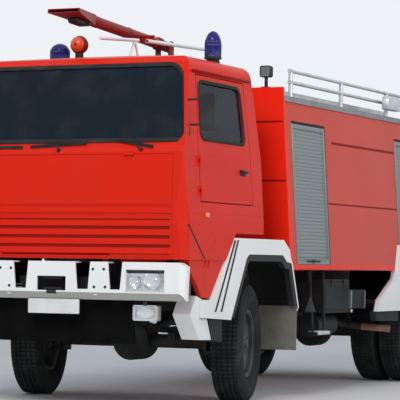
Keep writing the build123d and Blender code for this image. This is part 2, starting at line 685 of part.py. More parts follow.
# Cab mounts: two pedestals at the front, where the cab tilts, and a portal with the locks behind
def cab_mounts():
    inner = FRAME_HALF - RAIL_FLANGE
    top = CAB_STEP_UP_Z - SEAT_GAP
    fronts = [block(side * inner, side * FRAME_HALF, 360, 440, FRAME_TOP, CAB_FLOOR_Z - SEAT_GAP)
              for side in (-1, 1)]
    posts = [block(side * inner, side * FRAME_HALF, 1480, 1540, FRAME_TOP, top) for side in (-1, 1)]
    beam = block(-FRAME_HALF, FRAME_HALF, 1480, 1540, top - 60, top)
    return fronts + [fused(posts + [beam])]


save("cab_mounts", *cab_mounts())


# Mirrors: a head on an arm in front of each door
def cab_half_at(z):
    """Half width of the cab's outside at a height between the belt and the drip rail."""
    share = (z - CAB_BELT_Z) / (CAB_DRIP_Z - CAB_BELT_Z)
    return CAB_BELT_HALF + share * (CAB_DRIP_HALF - CAB_BELT_HALF)


def mirror_left():
    head = fillet(block(1262, 1392, 222, 262, 2330, 2640).edges().filter_by(Axis.Y), 22)
    arms = [rod((cab_half_at(z) - 25, 262, z), (1300, 248, z), 9) for z in (2380, 2590)]
    return fused([head] + [arm - CAB_OUTER for arm in arms])


save("mirrors", *both_sides(mirror_left()))


# Front bumper: a deep pressed section, open to the back, with a slanting lip underneath
HEADLIGHT = (705, 1060, 985, 1168)      # x0, x1, z0, z1
RECESS_XS = ((225, 370), (535, 672))
COUPLING_HALF = 137
COUPLING_Z = (985, 1105)


def bumper_solid(inset):
    side = outline([(inset, BUMPER_LOW_Z + LIP_HEIGHT + inset * 0.5), (inset, BUMPER_TOP_Z - inset),
                    (BUMPER_TOP_DEPTH + inset, BUMPER_TOP_Z - inset), (BUMPER_LOW_DEPTH + inset, BUMPER_LOW_Z + inset),
                    (LIP_SET_BACK + inset, BUMPER_LOW_Z + inset)])
    half = BUMPER_HALF - inset
    plan = Pos(0, inset + BUMPER_TOP_DEPTH / 2) * Rectangle(2 * half, BUMPER_TOP_DEPTH)
    plan = fillet([v for v in plan.vertices() if v.Y < BUMPER_TOP_DEPTH / 2], 60 - inset)
    right = [(half, BUMPER_LOW_Z), (half, BUMPER_END_Z - inset), (half - BUMPER_END_SLOPE, BUMPER_TOP_Z - inset)]
    front = outline(right + [(-x, z) for x, z in reversed(right)])
    return (across(side, -BUMPER_HALF, BUMPER_HALF) & upright(plan, BUMPER_LOW_Z - 10, BUMPER_TOP_Z + 10)
            & along(front, -10, 2 * BUMPER_TOP_DEPTH))


def front_bumper():
    shell = bumper_solid(0) - bumper_solid(BUMPER_PLATE)
    shell -= block(-COUPLING_HALF, COUPLING_HALF, -10, 60, *COUPLING_Z)
    for x0, x1 in RECESS_XS:
        for side in (-1, 1):
            face = outline([(side * x0, BUMPER_TOP_Z + 5), (side * x1, BUMPER_TOP_Z + 5), (side * (x1 - 22), 1000),
                            (side * (x0 + 22), 1000)])
            shell -= along(face, -10, BUMPER_TOP_DEPTH + 5)
    x0, x1, z0, z1 = HEADLIGHT
    for side in (-1, 1):
        shell -= block(side * x0, side * x1, -10, 60, z0, z1)
    brackets = [block(side * (FRAME_HALF - 30), side * FRAME_HALF, BUMPER_PLATE - 1, FRAME_FRONT_Y - BEAM,
                      FRAME_TOP - 90, FRAME_TOP - 8) for side in (-1, 1)]
    return fused([shell] + brackets)


def lamp(x0, x1, z0, z1, y0, y1, radius):
    body = block(x0, x1, y0, y1, z0, z1)
    return fillet(body.edges().filter_by(Axis.Y), radius)


FOG_LAMP = (732, 978, 738, 884)


def front_lamps():
    x0, x1, z0, z1 = HEADLIGHT
    g = SEAT_GAP
    head = lamp(x0 + g, x1 - g, z0 + g, z1 - g, 2, 96, 16)
    fx0, fx1, fz0, fz1 = FOG_LAMP
    fog = lamp(fx0, fx1, fz0, fz1, 64, 150, 18)
    stem = block((fx0 + fx1) / 2 - 18, (fx0 + fx1) / 2 + 18, 64, 76, fz1 - 10, BUMPER_LOW_Z - SEAT_GAP)
    return [head, fused([fog, stem])]


save("front_bumper", front_bumper())
save("front_lamps", *[s for p in front_lamps() for s in both_sides(p)])


# Front towing jaw: two plates with a pin hole behind the opening in the bumper
JAW_PLATE = 22
JAW_GAP = 70
JAW_HALF = 90
JAW_WALL = 20
JAW_PIN_R = 20.5
JAW_PIN_Y = 110


def towing_jaw(y_open, y_back, pin_y, middle):
    plates = []
    for end in (-1, 1):
        z0 = middle + end * JAW_GAP / 2
        plates.append(block(-JAW_HALF, JAW_HALF, y_open, y_back, z0, z0 + end * JAW_PLATE))
    half = JAW_GAP / 2 + JAW_PLATE
    far = y_back + (JAW_WALL if y_back > y_open else -JAW_WALL)
    wall = block(-JAW_HALF, JAW_HALF, y_back, far, middle - half, middle + half)
    hole = rod((0, pin_y, middle - half - 5), (0, pin_y, middle + half + 5), JAW_PIN_R)
    return fused(plates + [wall]) - hole


def front_coupling():
    jaw = towing_jaw(25, FRAME_FRONT_Y - BEAM - JAW_WALL, JAW_PIN_Y, sum(COUPLING_Z) / 2)
    beam = block(-FRAME_HALF, FRAME_HALF, FRAME_FRONT_Y - BEAM, FRAME_FRONT_Y, FRAME_BOTTOM + 60, FRAME_TOP + 62)
    return fused([jaw, beam])


# Splash shield under the bumper
def splash_shield():
    face = outline([(150, 905), (158, 905), (213, 545), (205, 545)])
    ears = [block(side * 300, side * 340, 150, FRAME_FRONT_Y - BEAM - SEAT_GAP, 870, 905) for side in (-1, 1)]
    return fused([across(face, -700, 700)] + ears)


save("splash_shield", splash_shield())


# Mudguards: a skirt that shows from the side and a sheet over the tyre
STAY_R = 14
GUARD_END_BACK = 865    # from the front axle back to the end of its mudguard
TOE_FRONT = (1225, 773)  # lower front corner of the toe, from the axle forward and from the ground
TOE_REAR = (640, 745)


def arch_face(axle_y, grow):
    """Side view of the arch over a front tyre."""
    front, top = (axle_y - 318, ARCH_TOP_Z), (axle_y + 470, ARCH_TOP_Z)
    back = (axle_y + 672, 1240)
    face = outline([(axle_y - 672, 700), (axle_y - 658, 746), front, top, (axle_y + 565, 1251), back,
                    (axle_y + GUARD_END_BACK - 27, GUARD_END_Z), (axle_y + GUARD_END_BACK + 25, 700)])
    for corner, radius in ((front, 110), (top, 45), (back, 25)):
        face = fillet([v for v in face.vertices() if abs(v.X - corner[0]) + abs(v.Y - corner[1]) < 1], radius)
    return offset(face, grow) if grow else face


def front_skirt_face(grow):
    y = FRONT_AXLE_Y
    face = outline([
        (y - TOE_FRONT[0], TOE_FRONT[1]), (y - TOE_FRONT[0] - 5, 923), (y - 1032, 921), (y - 577, GUARD_TOP_Z),
        (y + 488, GUARD_TOP_Z), (y + 632, 1362), (y + 658, 1289), (y + 708, 1225), (y + GUARD_END_BACK, GUARD_END_Z),
        (y + GUARD_END_BACK - 45, GUARD_END_Z), (y - TOE_REAR[0], TOE_REAR[1])])
    return offset(face, grow, kind=Kind.INTERSECTION) if grow else face


def stay(y, z):
    """A bar from the rail out to the mudguard."""
    return rod((FRAME_HALF, y, z), (GUARD_OUT - GUARD_SKIRT - 20, y, z), STAY_R)


def front_mudguard():
    y = FRONT_AXLE_Y
    space = across(arch_face(y, 0), 0, 2000)
    below = block(0, 2000, y - 2000, y, 0, GUARD_TOE_Z) + block(0, 2000, y, y + 2000, 0, GUARD_END_Z)
    skirt = across(front_skirt_face(0), GUARD_OUT - GUARD_SKIRT, GUARD_OUT) - space - cab_solid(-GUARD_CAB_GAP)
    sheet = across(arch_face(y, GUARD_SHEET), GUARD_IN, GUARD_OUT) - space - below
    arm = block(FRAME_HALF - 60, GUARD_IN + 5, y - 30, y + 30, ARCH_TOP_Z + 2, ARCH_TOP_Z + 30)
    leg = block(FRAME_HALF - 60, FRAME_HALF - 20, y - 30, y + 30, FRAME_TOP, ARCH_TOP_Z + 30)
    return fused([skirt, sheet, arm, leg, stay(y - 572, 900), stay(y + 816, 900)])


FLAP_TOP = 847          # height of the front mudflaps' upper edge


def arch_lip():
    """Rubber lip inside the front arch, open at the bottom and above the mudflap."""
    y = FRONT_AXLE_Y
    ring = across(arch_face(y, -SEAT_GAP) - arch_face(y, -ARCH_LIP), GUARD_OUT - 60, GUARD_OUT - 4)
    return ring - block(0, 2000, y - 2000, y, 0, GUARD_TOE_Z) - block(0, 2000, y, y + 2000, 0, FLAP_TOP + 3)


REAR_TOE_REACH = 1331   # of the rear mudguard's toe, from the axle forward


def rear_arch_face(grow):
    y = REAR_AXLE_Y
    face = outline([(y - 640, 700), (y - 630, GUARD_TOE_Z), (y - 330, ARCH_TOP_Z), (y + 330, ARCH_TOP_Z),
                    (y + 630, GUARD_TOE_Z), (y + 640, 700)])
    face = fillet([v for v in face.vertices() if v.Y > 1100], 90)
    return offset(face, grow) if grow else face


def rear_skirt_face(grow):
    y = REAR_AXLE_Y
    face = outline([(y - REAR_TOE_REACH, GUARD_TOE_Z), (y - 1276, 881), (y - 845, 1100), (y - 700, GUARD_TOP_Z),
                    (y + 700, GUARD_TOP_Z), (y + 845, 1100), (y + 900, GUARD_TOE_Z)])
    return offset(face, grow, kind=Kind.INTERSECTION) if grow else face


def rear_mudguard():
    y = REAR_AXLE_Y
    space = across(rear_arch_face(0), 0, 2000)
    below = block(0, 2000, y - 2000, y + 2000, 0, GUARD_TOE_Z)
    skirt = across(rear_skirt_face(0), GUARD_OUT - GUARD_SKIRT, GUARD_OUT) - space
    sheet = across(rear_arch_face(GUARD_SHEET), REAR_GUARD_IN, GUARD_OUT) - space - below
    stays = [stay(y + reach, 860) for reach in (-1200, -598, 598)]
    rim_stay = rod((GUARD_OUT - GUARD_SKIRT - 20, y - 1200, 860), (GUARD_OUT - 30, y - 1200, 860), STAY_R)
    return fused([skirt, sheet, rim_stay] + stays)


save("front_mudguards", *both_sides(front_mudguard()))
save("arch_lips", *both_sides(arch_lip()))
save("rear_mudguards", *both_sides(rear_mudguard()))


# The cab's lower corners: a white post in front of the mudguard's toe, a dark tread box behind it and a red
# panel that carries the cab's side down to them
POST_FACE = outline([(297, 956), (186, 800), (368, 589), (605, 583), (435, 922)])
SKIRT_PANEL_FACE = outline([(150, CAB_FLOOR_Z - SEAT_GAP), (174, 1155), (313, 1047), (400, 942), (560, 930),
                            (842, CAB_FLOOR_Z - SEAT_GAP)])


def corner_post():
    post = across(POST_FACE, 1050, 1210)
    post -= across(front_skirt_face(1), GUARD_OUT - GUARD_SKIRT - 1, GUARD_OUT + 10)
    return fused([post, block(1070, 1110, 360, 410, 900, CAB_FLOOR_Z - SEAT_GAP)])


def toe_z(y):
    """Height of the lower edge of the mudguard's toe."""
    share = (y - FRONT_AXLE_Y + TOE_FRONT[0]) / (TOE_FRONT[0] - TOE_REAR[0])
    return TOE_FRONT[1] + share * (TOE_REAR[1] - TOE_FRONT[1])


def tread_box():
    front, rear = 533, 816
    return across(outline([(front, toe_z(front) - SEAT_GAP), (616, 576), (rear, 560),
                           (rear, toe_z(rear) - SEAT_GAP)]), 1040, 1215)


def toe_panel():
    """Dark panel under the toe of a rear mudguard."""
    front, rear = REAR_AXLE_Y - REAR_TOE_REACH + 6, REAR_AXLE_Y - 650
    top = GUARD_TOE_Z - SEAT_GAP
    return across(outline([(front, top), (front + 34, 668), (rear, 655), (rear, top)]), 1150, 1215)


save("corner_posts", *both_sides(corner_post()))
save("tread_boxes", *both_sides(tread_box()), *both_sides(toe_panel()))
save("cab_skirts", *both_sides(across(SKIRT_PANEL_FACE, 1170, 1210)))


# Locker body
def body_half_at(z):
    share = (z - BODY_LOW_Z) / (BODY_TOP_Z - BODY_LOW_Z)
    return BODY_LOW_HALF + share * (BODY_TOP_HALF - BODY_LOW_HALF)


def body_section(inset, z0, z1):
    return outline([(body_half_at(z0) - inset, z0), (body_half_at(z1) - inset, z1),
                    (-body_half_at(z1) + inset, z1), (-body_half_at(z0) + inset, z0)])


REAR_BAY_HALF = 560
REAR_BAY_Z = (1260, 2480)
WHEEL_BOX_GAP = 3
BEARER = 70


def wheel_box():
    """The space that the mudguards take out of the body."""
    spaces = []
    for face, guard_in in ((rear_skirt_face(WHEEL_BOX_GAP), REAR_GUARD_IN), (front_skirt_face(WHEEL_BOX_GAP), GUARD_IN)):
        spaces += [across(face, guard_in - 20, 1400), across(face, -1400, 20 - guard_in)]
    return spaces


def body_frame():
    platform = along(body_section(0, BODY_LOW_Z, BODY_LOW_Z + PLATFORM), BODY_FRONT_Y, BODY_REAR_Y)
    front = along(body_section(0, BODY_LOW_Z, BODY_TOP_Z), BODY_FRONT_Y, BODY_FRONT_Y + BODY_WALL)
    rear = along(body_section(0, BODY_LOW_Z, BODY_TOP_Z), BODY_REAR_Y - BODY_WALL, BODY_REAR_Y)
    rear -= block(-REAR_BAY_HALF, REAR_BAY_HALF, BODY_REAR_Y - 100, BODY_REAR_Y + 50, *REAR_BAY_Z)
    bearers = [block(side * (FRAME_HALF - BEARER), side * FRAME_HALF, BODY_FRONT_Y, BODY_REAR_Y - 100, FRAME_TOP,
                     BODY_LOW_Z) for side in (-1, 1)]
    parapet = block(-BODY_TOP_HALF, BODY_TOP_HALF, BODY_FRONT_Y, BODY_FRONT_Y + PARAPET, BODY_TOP_Z - 10,
                    PARAPET_TOP_Z)
    whole = fused([platform, front, rear, parapet] + bearers)
    for cut in wheel_box():
        whole -= cut
    for z in FRONT_SEAM_ZS:
        whole -= block(-1300, 1300, BODY_FRONT_Y - 1, BODY_FRONT_Y + SEAM_DEPTH, z - SEAM_WIDTH / 2, z + SEAM_WIDTH / 2)
    return whole


SHUTTERS = (  # name, front y, rear y, low z
    ("front", 2440, 3250, 1228), ("rear", REAR_AXLE_Y - 650, BODY_REAR_Y - 180, 1470))


def side_wall(side):
    y0, y1 = BODY_FRONT_Y + BODY_WALL, BODY_REAR_Y - BODY_WALL
    z0, z1 = BODY_LOW_Z + PLATFORM, BODY_TOP_Z
    face = outline([(side * body_half_at(z0), z0), (side * body_half_at(z1), z1),
                    (side * (body_half_at(z1) - BODY_WALL), z1), (side * (body_half_at(z0) - BODY_WALL), z0)])
    wall = along(face, y0, y1)
    for name, front, rear, low in SHUTTERS:
        wall -= block(side * 900, side * 1400, front, rear, low, SHUTTER_TOP_Z)
    for cut in wheel_box():
        wall -= cut
    for z in SIDE_SEAM_ZS:
        x = body_half_at(z)
        wall -= block(side * (x - SEAM_DEPTH), side * (x + 10), *SIDE_SEAM_YS, z - SEAM_WIDTH / 2, z + SEAM_WIDTH / 2)
    return wall


def shutter(side, front, rear, low):
    z0, z1 = low, SHUTTER_TOP_Z
    outer0, outer1 = body_half_at(z0) - SHUTTER_SET_BACK, body_half_at(z1) - SHUTTER_SET_BACK
    face = outline([(side * outer0, z0), (side * outer1, z1), (side * (outer1 - SHUTTER_THICKNESS), z1),
                    (side * (outer0 - SHUTTER_THICKNESS), z0)])
    return along(face, front, rear)


def roller_shutters():
    pieces = [shutter(side, front, rear, low) for name, front, rear, low in SHUTTERS for side in (-1, 1)]
    y = BODY_REAR_Y - SHUTTER_SET_BACK
    pieces.append(block(-REAR_BAY_HALF, REAR_BAY_HALF, y - SHUTTER_THICKNESS, y, *REAR_BAY_Z))
    return pieces


def body_roof():
    half = BODY_TOP_HALF + ROOF_OVERHANG
    return block(-half, half, BODY_FRONT_Y + PARAPET + SEAT_GAP, BODY_REAR_Y + ROOF_OVERHANG, BODY_TOP_Z, ROOF_TOP_Z)


save("body_frame", body_frame())
save("body_side_left", side_wall(1))
save("body_side_right", side_wall(-1))
save("roller_shutters", *roller_shutters())
save("body_roof", body_roof())


# Mudflaps hang from the rear ends of the mudguards
def mudflaps():
    front_y = FRONT_AXLE_Y + 822
    front = block(860, 1235, front_y, front_y + 8, 440, FLAP_TOP)
    rear_y = REAR_AXLE_Y + 632
    rear = block(600, 1235, rear_y, rear_y + 8, 380, GUARD_TOE_Z - SEAT_GAP)
    return [front, rear]


save("mudflaps", *[s for p in mudflaps() for s in both_sides(p)])


# Boxes, tanks and steps between the axles, hung from the rails
BOX_FRONT_Y = FRONT_AXLE_Y + 1790


def battery_box():
    body = block(880, 1120, BOX_FRONT_Y, REAR_AXLE_Y - 1835, 762, 1084)
    bracket = block(FRAME_HALF, 880, BOX_FRONT_Y + 215, BOX_FRONT_Y + 455, 880, 960)
    return fused([body, bracket])


def fuel_tank():
    rear_y = REAR_AXLE_Y - 1475
    body = fillet(block(-1120, -640, BOX_FRONT_Y, rear_y, 700, 1130).edges().filter_by(Axis.Y), 60)
    brackets = [block(-640, -FRAME_HALF, y, y + 60, 860, 960) for y in (BOX_FRONT_Y + 115, rear_y - 180)]
    return fused([body] + brackets)


def air_tank():
    body = rod((900, BOX_FRONT_Y + 155, 640), (900, REAR_AXLE_Y - 1855, 640), 110)
    strap = block(880, 930, BOX_FRONT_Y + 215, BOX_FRONT_Y + 275, 700, 762 - SEAT_GAP)
    return fused([body, strap])


def second_box():
    rear_y = REAR_AXLE_Y - 1375
    body = block(900, 1120, rear_y - 390, rear_y, 800, 980)
    bracket = block(FRAME_HALF, 900, rear_y - 270, rear_y - 120, 880, 940)
    return fused([body, bracket])


save("side_boxes", battery_box(), second_box())
save("fuel_tank", fuel_tank())
save("air_tank", air_tank())


# Stirrup steps under the body
def stirrup():
    pieces = [block(1075, 1185, 3070, 3390, 560, 590)]
    for y0, y1 in ((2960, 3090), (3330, 3370)):
        pieces.append(rod((1130, y0, BODY_LOW_Z - 5), (1130, y1, 575), 14))
        pieces.append(block(1095, 1165, y0 - 35, y0 + 35, BODY_LOW_Z - 10, BODY_LOW_Z))
    return fused(pieces)


save("stirrup_steps", *both_sides(stirrup()))


# Rear end: underrun beam, towing jaw and lamps
REAR_JAW_Z = 900


def rear_beam():
    y = FRAME_REAR_Y + 80
    beam = block(-1150, 1150, y, y + 100, 560, 690)
    posts = [block(side * (FRAME_HALF - 80), side * FRAME_HALF, y - 160, y + 20, 560, FRAME_BOTTOM)
             for side in (-1, 1)]
    cross = block(-FRAME_HALF, FRAME_HALF, FRAME_REAR_Y, FRAME_REAR_Y + BEAM, FRAME_BOTTOM, FRAME_TOP)
    jaw = towing_jaw(LENGTH, FRAME_REAR_Y + BEAM + JAW_WALL, LENGTH - 55, REAR_JAW_Z)
    return fused([beam, cross, jaw] + posts)


def rear_lamp():
    y = FRAME_REAR_Y + 180
    return fillet(block(820, 1130, y, y + 32, 575, 675).edges().filter_by(Axis.Y), 16)


save("front_coupling", front_coupling())
save("rear_beam", rear_beam())
save("rear_lamps", *both_sides(rear_lamp()))


# Roof: rails, ladder and lamps
RAIL_X = 1000
RAIL_TOP_Z = ROOF_TOP_Z + 271
RAIL_MIDDLE_Z = ROOF_TOP_Z + 163
RAIL_R = 17
RAIL_POST_YS = (2770, 4080, 5390, 6700)


def roof_rail():
    bars = [rod((RAIL_X, RAIL_POST_YS[0], z), (RAIL_X, RAIL_POST_YS[-1], z), RAIL_R)
            for z in (RAIL_MIDDLE_Z, RAIL_TOP_Z)]
    posts = [rod((RAIL_X, y, ROOF_TOP_Z), (RAIL_X, y, RAIL_TOP_Z + 6), RAIL_R + 4) for y in RAIL_POST_YS]
    return fused(bars + posts)


def rear_ladder():
    y = BODY_REAR_Y + 90
    pieces = [rod((x, y, 1200), (x, y, 3050), 16) for x in (-1010, -680)]
    pieces += [rod((-1010, y, 1260 + 300 * n), (-680, y, 1260 + 300 * n), 12) for n in range(6)]
    pieces += [rod((x, BODY_REAR_Y, z), (x, y, z), 12) for x in (-1010, -680) for z in (1300, 2650)]
    return fused(pieces)


def roof_ladder():
    x0, x1 = 380, 800
    y0, y1 = 2640, 5900
    bearers = [block(x0 - 60, x1 + 60, y, y + 60, ROOF_TOP_Z, ROOF_TOP_Z + 40) for y in (2900, 4200, 5500)]
    sides = [block(x - 14, x + 14, y0, y1, ROOF_TOP_Z + 40, ROOF_TOP_Z + 110) for x in (x0, x1)]
    rungs = [rod((x0, y0 + 140 + 300 * n, ROOF_TOP_Z + 75), (x1, y0 + 140 + 300 * n, ROOF_TOP_Z + 75), 14)
             for n in range(11)]
    return fused(bearers + sides + rungs)


save("roof_rails", *both_sides(roof_rail()))
save("rear_ladder", rear_ladder())
save("roof_ladder", roof_ladder())


# On the cab's roof: two beacons, a round siren and the stay that the monitor's barrel rests over
BEACONS = (  # x, y, dome radius, height of its top
    (915, 1200, 78, 3270), (-620, 1200, 95, 3210))
SIREN = (-420, 1200, 3190)
SIREN_R = 85
STAY_POLE = ((0, 805, 3199), (0, 1550, 3255))
ON_ROOF = Pos(0, 0, SEAT_GAP) * CAB_OUTER


def roof_height_at(x):
    """Height of the cab's roof crown at a place across the vehicle."""
    return CAB_ROOF_Z - CROWN_RISE * (x / (CAB_DRIP_HALF - 22)) ** 2


def beacon(x, y, radius, top_z):
    foot_z = roof_height_at(x)
    foot = rod((x, y, foot_z - 30), (x, y, foot_z + 30), radius * 0.72) - ON_ROOF
    dome = rod((x, y, foot_z + 30), (x, y, top_z), radius)
    dome = fillet(dome.edges().sort_by(Axis.Z)[-1], radius * 0.38)
    return fused([foot, dome])


def siren():
    x, y, z = SIREN
    ball = Pos(x, y, z) * Sphere(SIREN_R)
    foot = rod((x, y, roof_height_at(x) - 30), (x, y, z), 40) - ON_ROOF
    return fused([ball, foot])


def roof_stay():
    head = (0, 1484, 3250)
    legs = [rod((0, y, CAB_ROOF_Z - 40), head, 12) - ON_ROOF for y in (1320, 1600)]
    return fused([rod(*STAY_POLE, 11)] + legs)


save("beacons", *[beacon(*row) for row in BEACONS])
save("siren", siren())
save("roof_stay", roof_stay())


# Monitor: base pipe, turning head with a fork, and the barrel with its fan-shaped deflector
HEAD_Z = MONITOR_AXIS_Z - 212
FORK_X = BARREL_R + 8
FORK_CHEEK = 18
TRUNNION_R = 15
TILLER = ((0, 1725, 3268), (0, 2960, 3316))
TILLER_R = 13
CLAMP_YS = (1850, 2250)


def monitor_base():
    flange = rod((MONITOR_X, MONITOR_Y, ROOF_TOP_Z), (MONITOR_X, MONITOR_Y, ROOF_TOP_Z + 22), 112)
    pipe = rod((MONITOR_X, MONITOR_Y, ROOF_TOP_Z), (MONITOR_X, MONITOR_Y, HEAD_Z - SEAT_GAP), 62)
    collar = rod((MONITOR_X, MONITOR_Y, HEAD_Z - 40), (MONITOR_X, MONITOR_Y, HEAD_Z - SEAT_GAP), 84)
    return fused([flange, pipe, collar])


def monitor_turret():
    pieces = [rod((MONITOR_X, MONITOR_Y, HEAD_Z), (MONITOR_X, MONITOR_Y, HEAD_Z + 90), 84)]
    for side in (-1, 1):
        x0 = MONITOR_X + side * FORK_X
        x1 = x0 + side * FORK_CHEEK
        pieces.append(block(x0, x1, MONITOR_Y - 45, MONITOR_Y + 45, HEAD_Z + 60, MONITOR_AXIS_Z))
        pieces.append(rod((x0, MONITOR_Y, MONITOR_AXIS_Z), (x1, MONITOR_Y, MONITOR_AXIS_Z), 45))
    hole = rod((MONITOR_X - 120, MONITOR_Y, MONITOR_AXIS_Z), (MONITOR_X + 120, MONITOR_Y, MONITOR_AXIS_Z),
               TRUNNION_R + BEARING_GAP)
    return fused(pieces) - hole


def fan(sections):
    """A loft through upright rectangles: reach, width, height."""
    return Solid.make_loft([
        (Plane(origin=(0, -reach, 0), x_dir=(1, 0, 0), z_dir=(0, -1, 0)) * Rectangle(width, height)).wire()
        for reach, width, height in sections])


def barrel_z(y):
    """Height of the resting barrel's middle line."""
    return MONITOR_AXIS_Z + (MONITOR_Y - y) * tan(radians(MONITOR_RAISED))


def tiller_z(y):
    (_, y0, z0), (_, y1, z1) = TILLER
    return z0 + (y - y0) / (y1 - y0) * (z1 - z0)


def monitor_barrel():
    reach = FORK_X + FORK_CHEEK
    pipe = rod((0, 80, 0), (0, -NECK_REACH - 20, 0), BARREL_R)
    pin = rod((-reach, 0, 0), (reach, 0, 0), TRUNNION_R)
    outer = fan(((NECK_REACH, 96, 96), (MOUTH_REACH, 310, 34)))
    inner = fan(((NECK_REACH - 2, 78, 78), (MOUTH_REACH + 3, 296, 20)))
    bore = rod((0, -60, 0), (0, -NECK_REACH, 0), BARREL_BORE_R)
    raised = Pos(MONITOR_X, MONITOR_Y, MONITOR_AXIS_Z) * Rot(X=-MONITOR_RAISED)
    barrel = raised * (fused([pipe, pin, outer]) - inner - bore)
    clamps = [block(MONITOR_X + BARREL_BORE_R + 3, TILLER_R, y - 12, y + 12, tiller_z(y) - 12,
                    max(tiller_z(y), barrel_z(y)) + 8) for y in CLAMP_YS]
    return fused([barrel, rod(*TILLER, TILLER_R)] + clamps)


save("monitor_base", monitor_base())
save("monitor_turret", monitor_turret())
save("monitor_barrel", monitor_barrel())

os.makedirs("parts", exist_ok=True)
for name, shape in nodes.items():
    export_step(shape, f"parts/{name}.step")
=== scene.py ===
import logging
import math
from contextlib import contextmanager
from dataclasses import dataclass, field
from enum import Enum
from typing import Callable, Iterator, Sequence

import bmesh
import bpy
from mathutils import Matrix, Vector


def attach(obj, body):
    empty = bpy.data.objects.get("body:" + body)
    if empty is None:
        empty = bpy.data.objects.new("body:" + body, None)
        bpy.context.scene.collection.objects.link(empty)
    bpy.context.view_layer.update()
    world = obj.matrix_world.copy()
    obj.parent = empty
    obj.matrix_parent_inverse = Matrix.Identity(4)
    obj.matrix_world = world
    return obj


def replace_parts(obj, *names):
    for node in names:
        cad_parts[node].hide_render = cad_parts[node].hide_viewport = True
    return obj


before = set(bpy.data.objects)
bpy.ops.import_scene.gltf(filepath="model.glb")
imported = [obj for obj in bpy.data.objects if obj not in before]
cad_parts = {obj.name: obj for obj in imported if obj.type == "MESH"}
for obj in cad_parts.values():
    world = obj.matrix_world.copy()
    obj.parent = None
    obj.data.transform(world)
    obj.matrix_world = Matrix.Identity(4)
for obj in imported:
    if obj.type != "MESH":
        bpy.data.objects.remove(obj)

LOG = logging.getLogger("fire_engine")
Spot = tuple[float, float]
Triple = tuple[float, float, float]
Quad = tuple[float, float, float, float]
Colour = Point = Triple
Place = Point | Vector
Object = bpy.types.Object
Socket = bpy.types.NodeSocket
Test = Callable[[Vector, Vector], bool]

X, Y, Z = Vector((1, 0, 0)), Vector((0, 1, 0)), Vector((0, 0, 1))
SIDES = ((1, "left"), (-1, "right"))
MID_LENGTH = 3.6
"""From the bumper's face back to the middle of the vehicle, in metres."""


def at(x: float, y: float, z: float) -> Vector:
    """A place in the shared frame from one whose y is measured back from the bumper's face."""
    return Vector((x, y - MID_LENGTH, z))


def placed(place: Place) -> Vector:
    """A vector as it is, or the place that a tuple says, measured back from the bumper's face."""
    return place if isinstance(place, Vector) else at(*place)


def flat(y: float, x0: float, x1: float, z0: float, z1: float) -> list[Vector]:
    """The corners of an upright rectangle across the vehicle, anticlockwise from x0 and z0."""
    return [at(x0, y, z0), at(x1, y, z0), at(x1, y, z1), at(x0, y, z1)]


def cab_side_x(z: float) -> float:
    """Half width of the cab at a height."""
    if z > 2.150:
        return 1.190 - (z - 2.150) * 0.1314
    return 1.225 - max(z - 1.600, 0.0) * 0.0636


def body_side_x(z: float) -> float:
    """Half width of the locker body at a height."""
    return 1.232 - (z - 1.180) * 0.063


def cab_front_y(z: float) -> float:
    """How far back the cab's front is at a height, up to the windscreen's top."""
    if z > 2.205:
        return 0.100 + (z - 2.205) * 0.265 / 0.700
    if z > 2.150:
        return 0.050 + (z - 2.150) * 0.050 / 0.055
    if z > 1.640:
        return 0.030 + (z - 1.640) * 0.020 / 0.510
    return 0.030 + (1.640 - z) * 0.025 / 0.385


def cab_skin_y(x: float, z: float, radius: float = 0.105) -> float:
    """How far back the cab's skin is at a place of its front or of the rounded corner beside it."""
    into = x - (cab_side_x(z) - radius)
    if into <= 0:
        return cab_front_y(z)
    return cab_front_y(z) + radius - math.sqrt(max(radius ** 2 - min(into, radius * 0.985) ** 2, 0))


def toward(way: Vector, least: float = 0.9) -> Test:
    """A test for faces that look in a direction."""
    return lambda place, facing: facing.dot(way) > least


def along(way: Vector, where: Callable[[Vector], bool] = lambda place: True) -> Test:
    """A test for faces or edges that point up or down a direction, in places that pass a test."""
    return lambda place, facing: abs(facing.dot(way)) > 0.9 and where(place)


class Nodes:
    """A node tree, with short calls for what is built in it."""

    def __init__(self, tree: bpy.types.NodeTree) -> None:
        """Empties the tree."""
        self.tree = tree
        tree.nodes.clear()

    def join(self, start: Socket, end: Socket) -> None:
        """Links two sockets."""
        self.tree.links.new(start, end)

    def feed(self, value: object, socket: Socket) -> None:
        """Sets a socket to a plain value or links it to another socket."""
        if isinstance(value, Socket):
            self.join(value, socket)
        else:
            socket.default_value = value

    def node(self, kind: str, **inputs: object) -> bpy.types.Node:
        """Adds a node and feeds its inputs, given by name with _ for a space."""
        node = self.tree.nodes.new(f"ShaderNode{kind}")
        for name, value in inputs.items():
            self.feed(value, node.inputs[name.replace("_", " ")])
        return node

    def sum(self, kind: str, *values: object) -> Socket:
        """The result of an operation on one number, or carried on through several."""
        result = values[0]
        for value in values[1:] or (0.0,):
            node = self.node("Math")
            node.operation = kind
            self.feed(result, node.inputs[0])
            self.feed(value, node.inputs[1])
            result = node.outputs[0]
        return result

    def times(self, *values: object) -> Socket:
        """The product of some numbers."""
        return self.sum("MULTIPLY", *values)


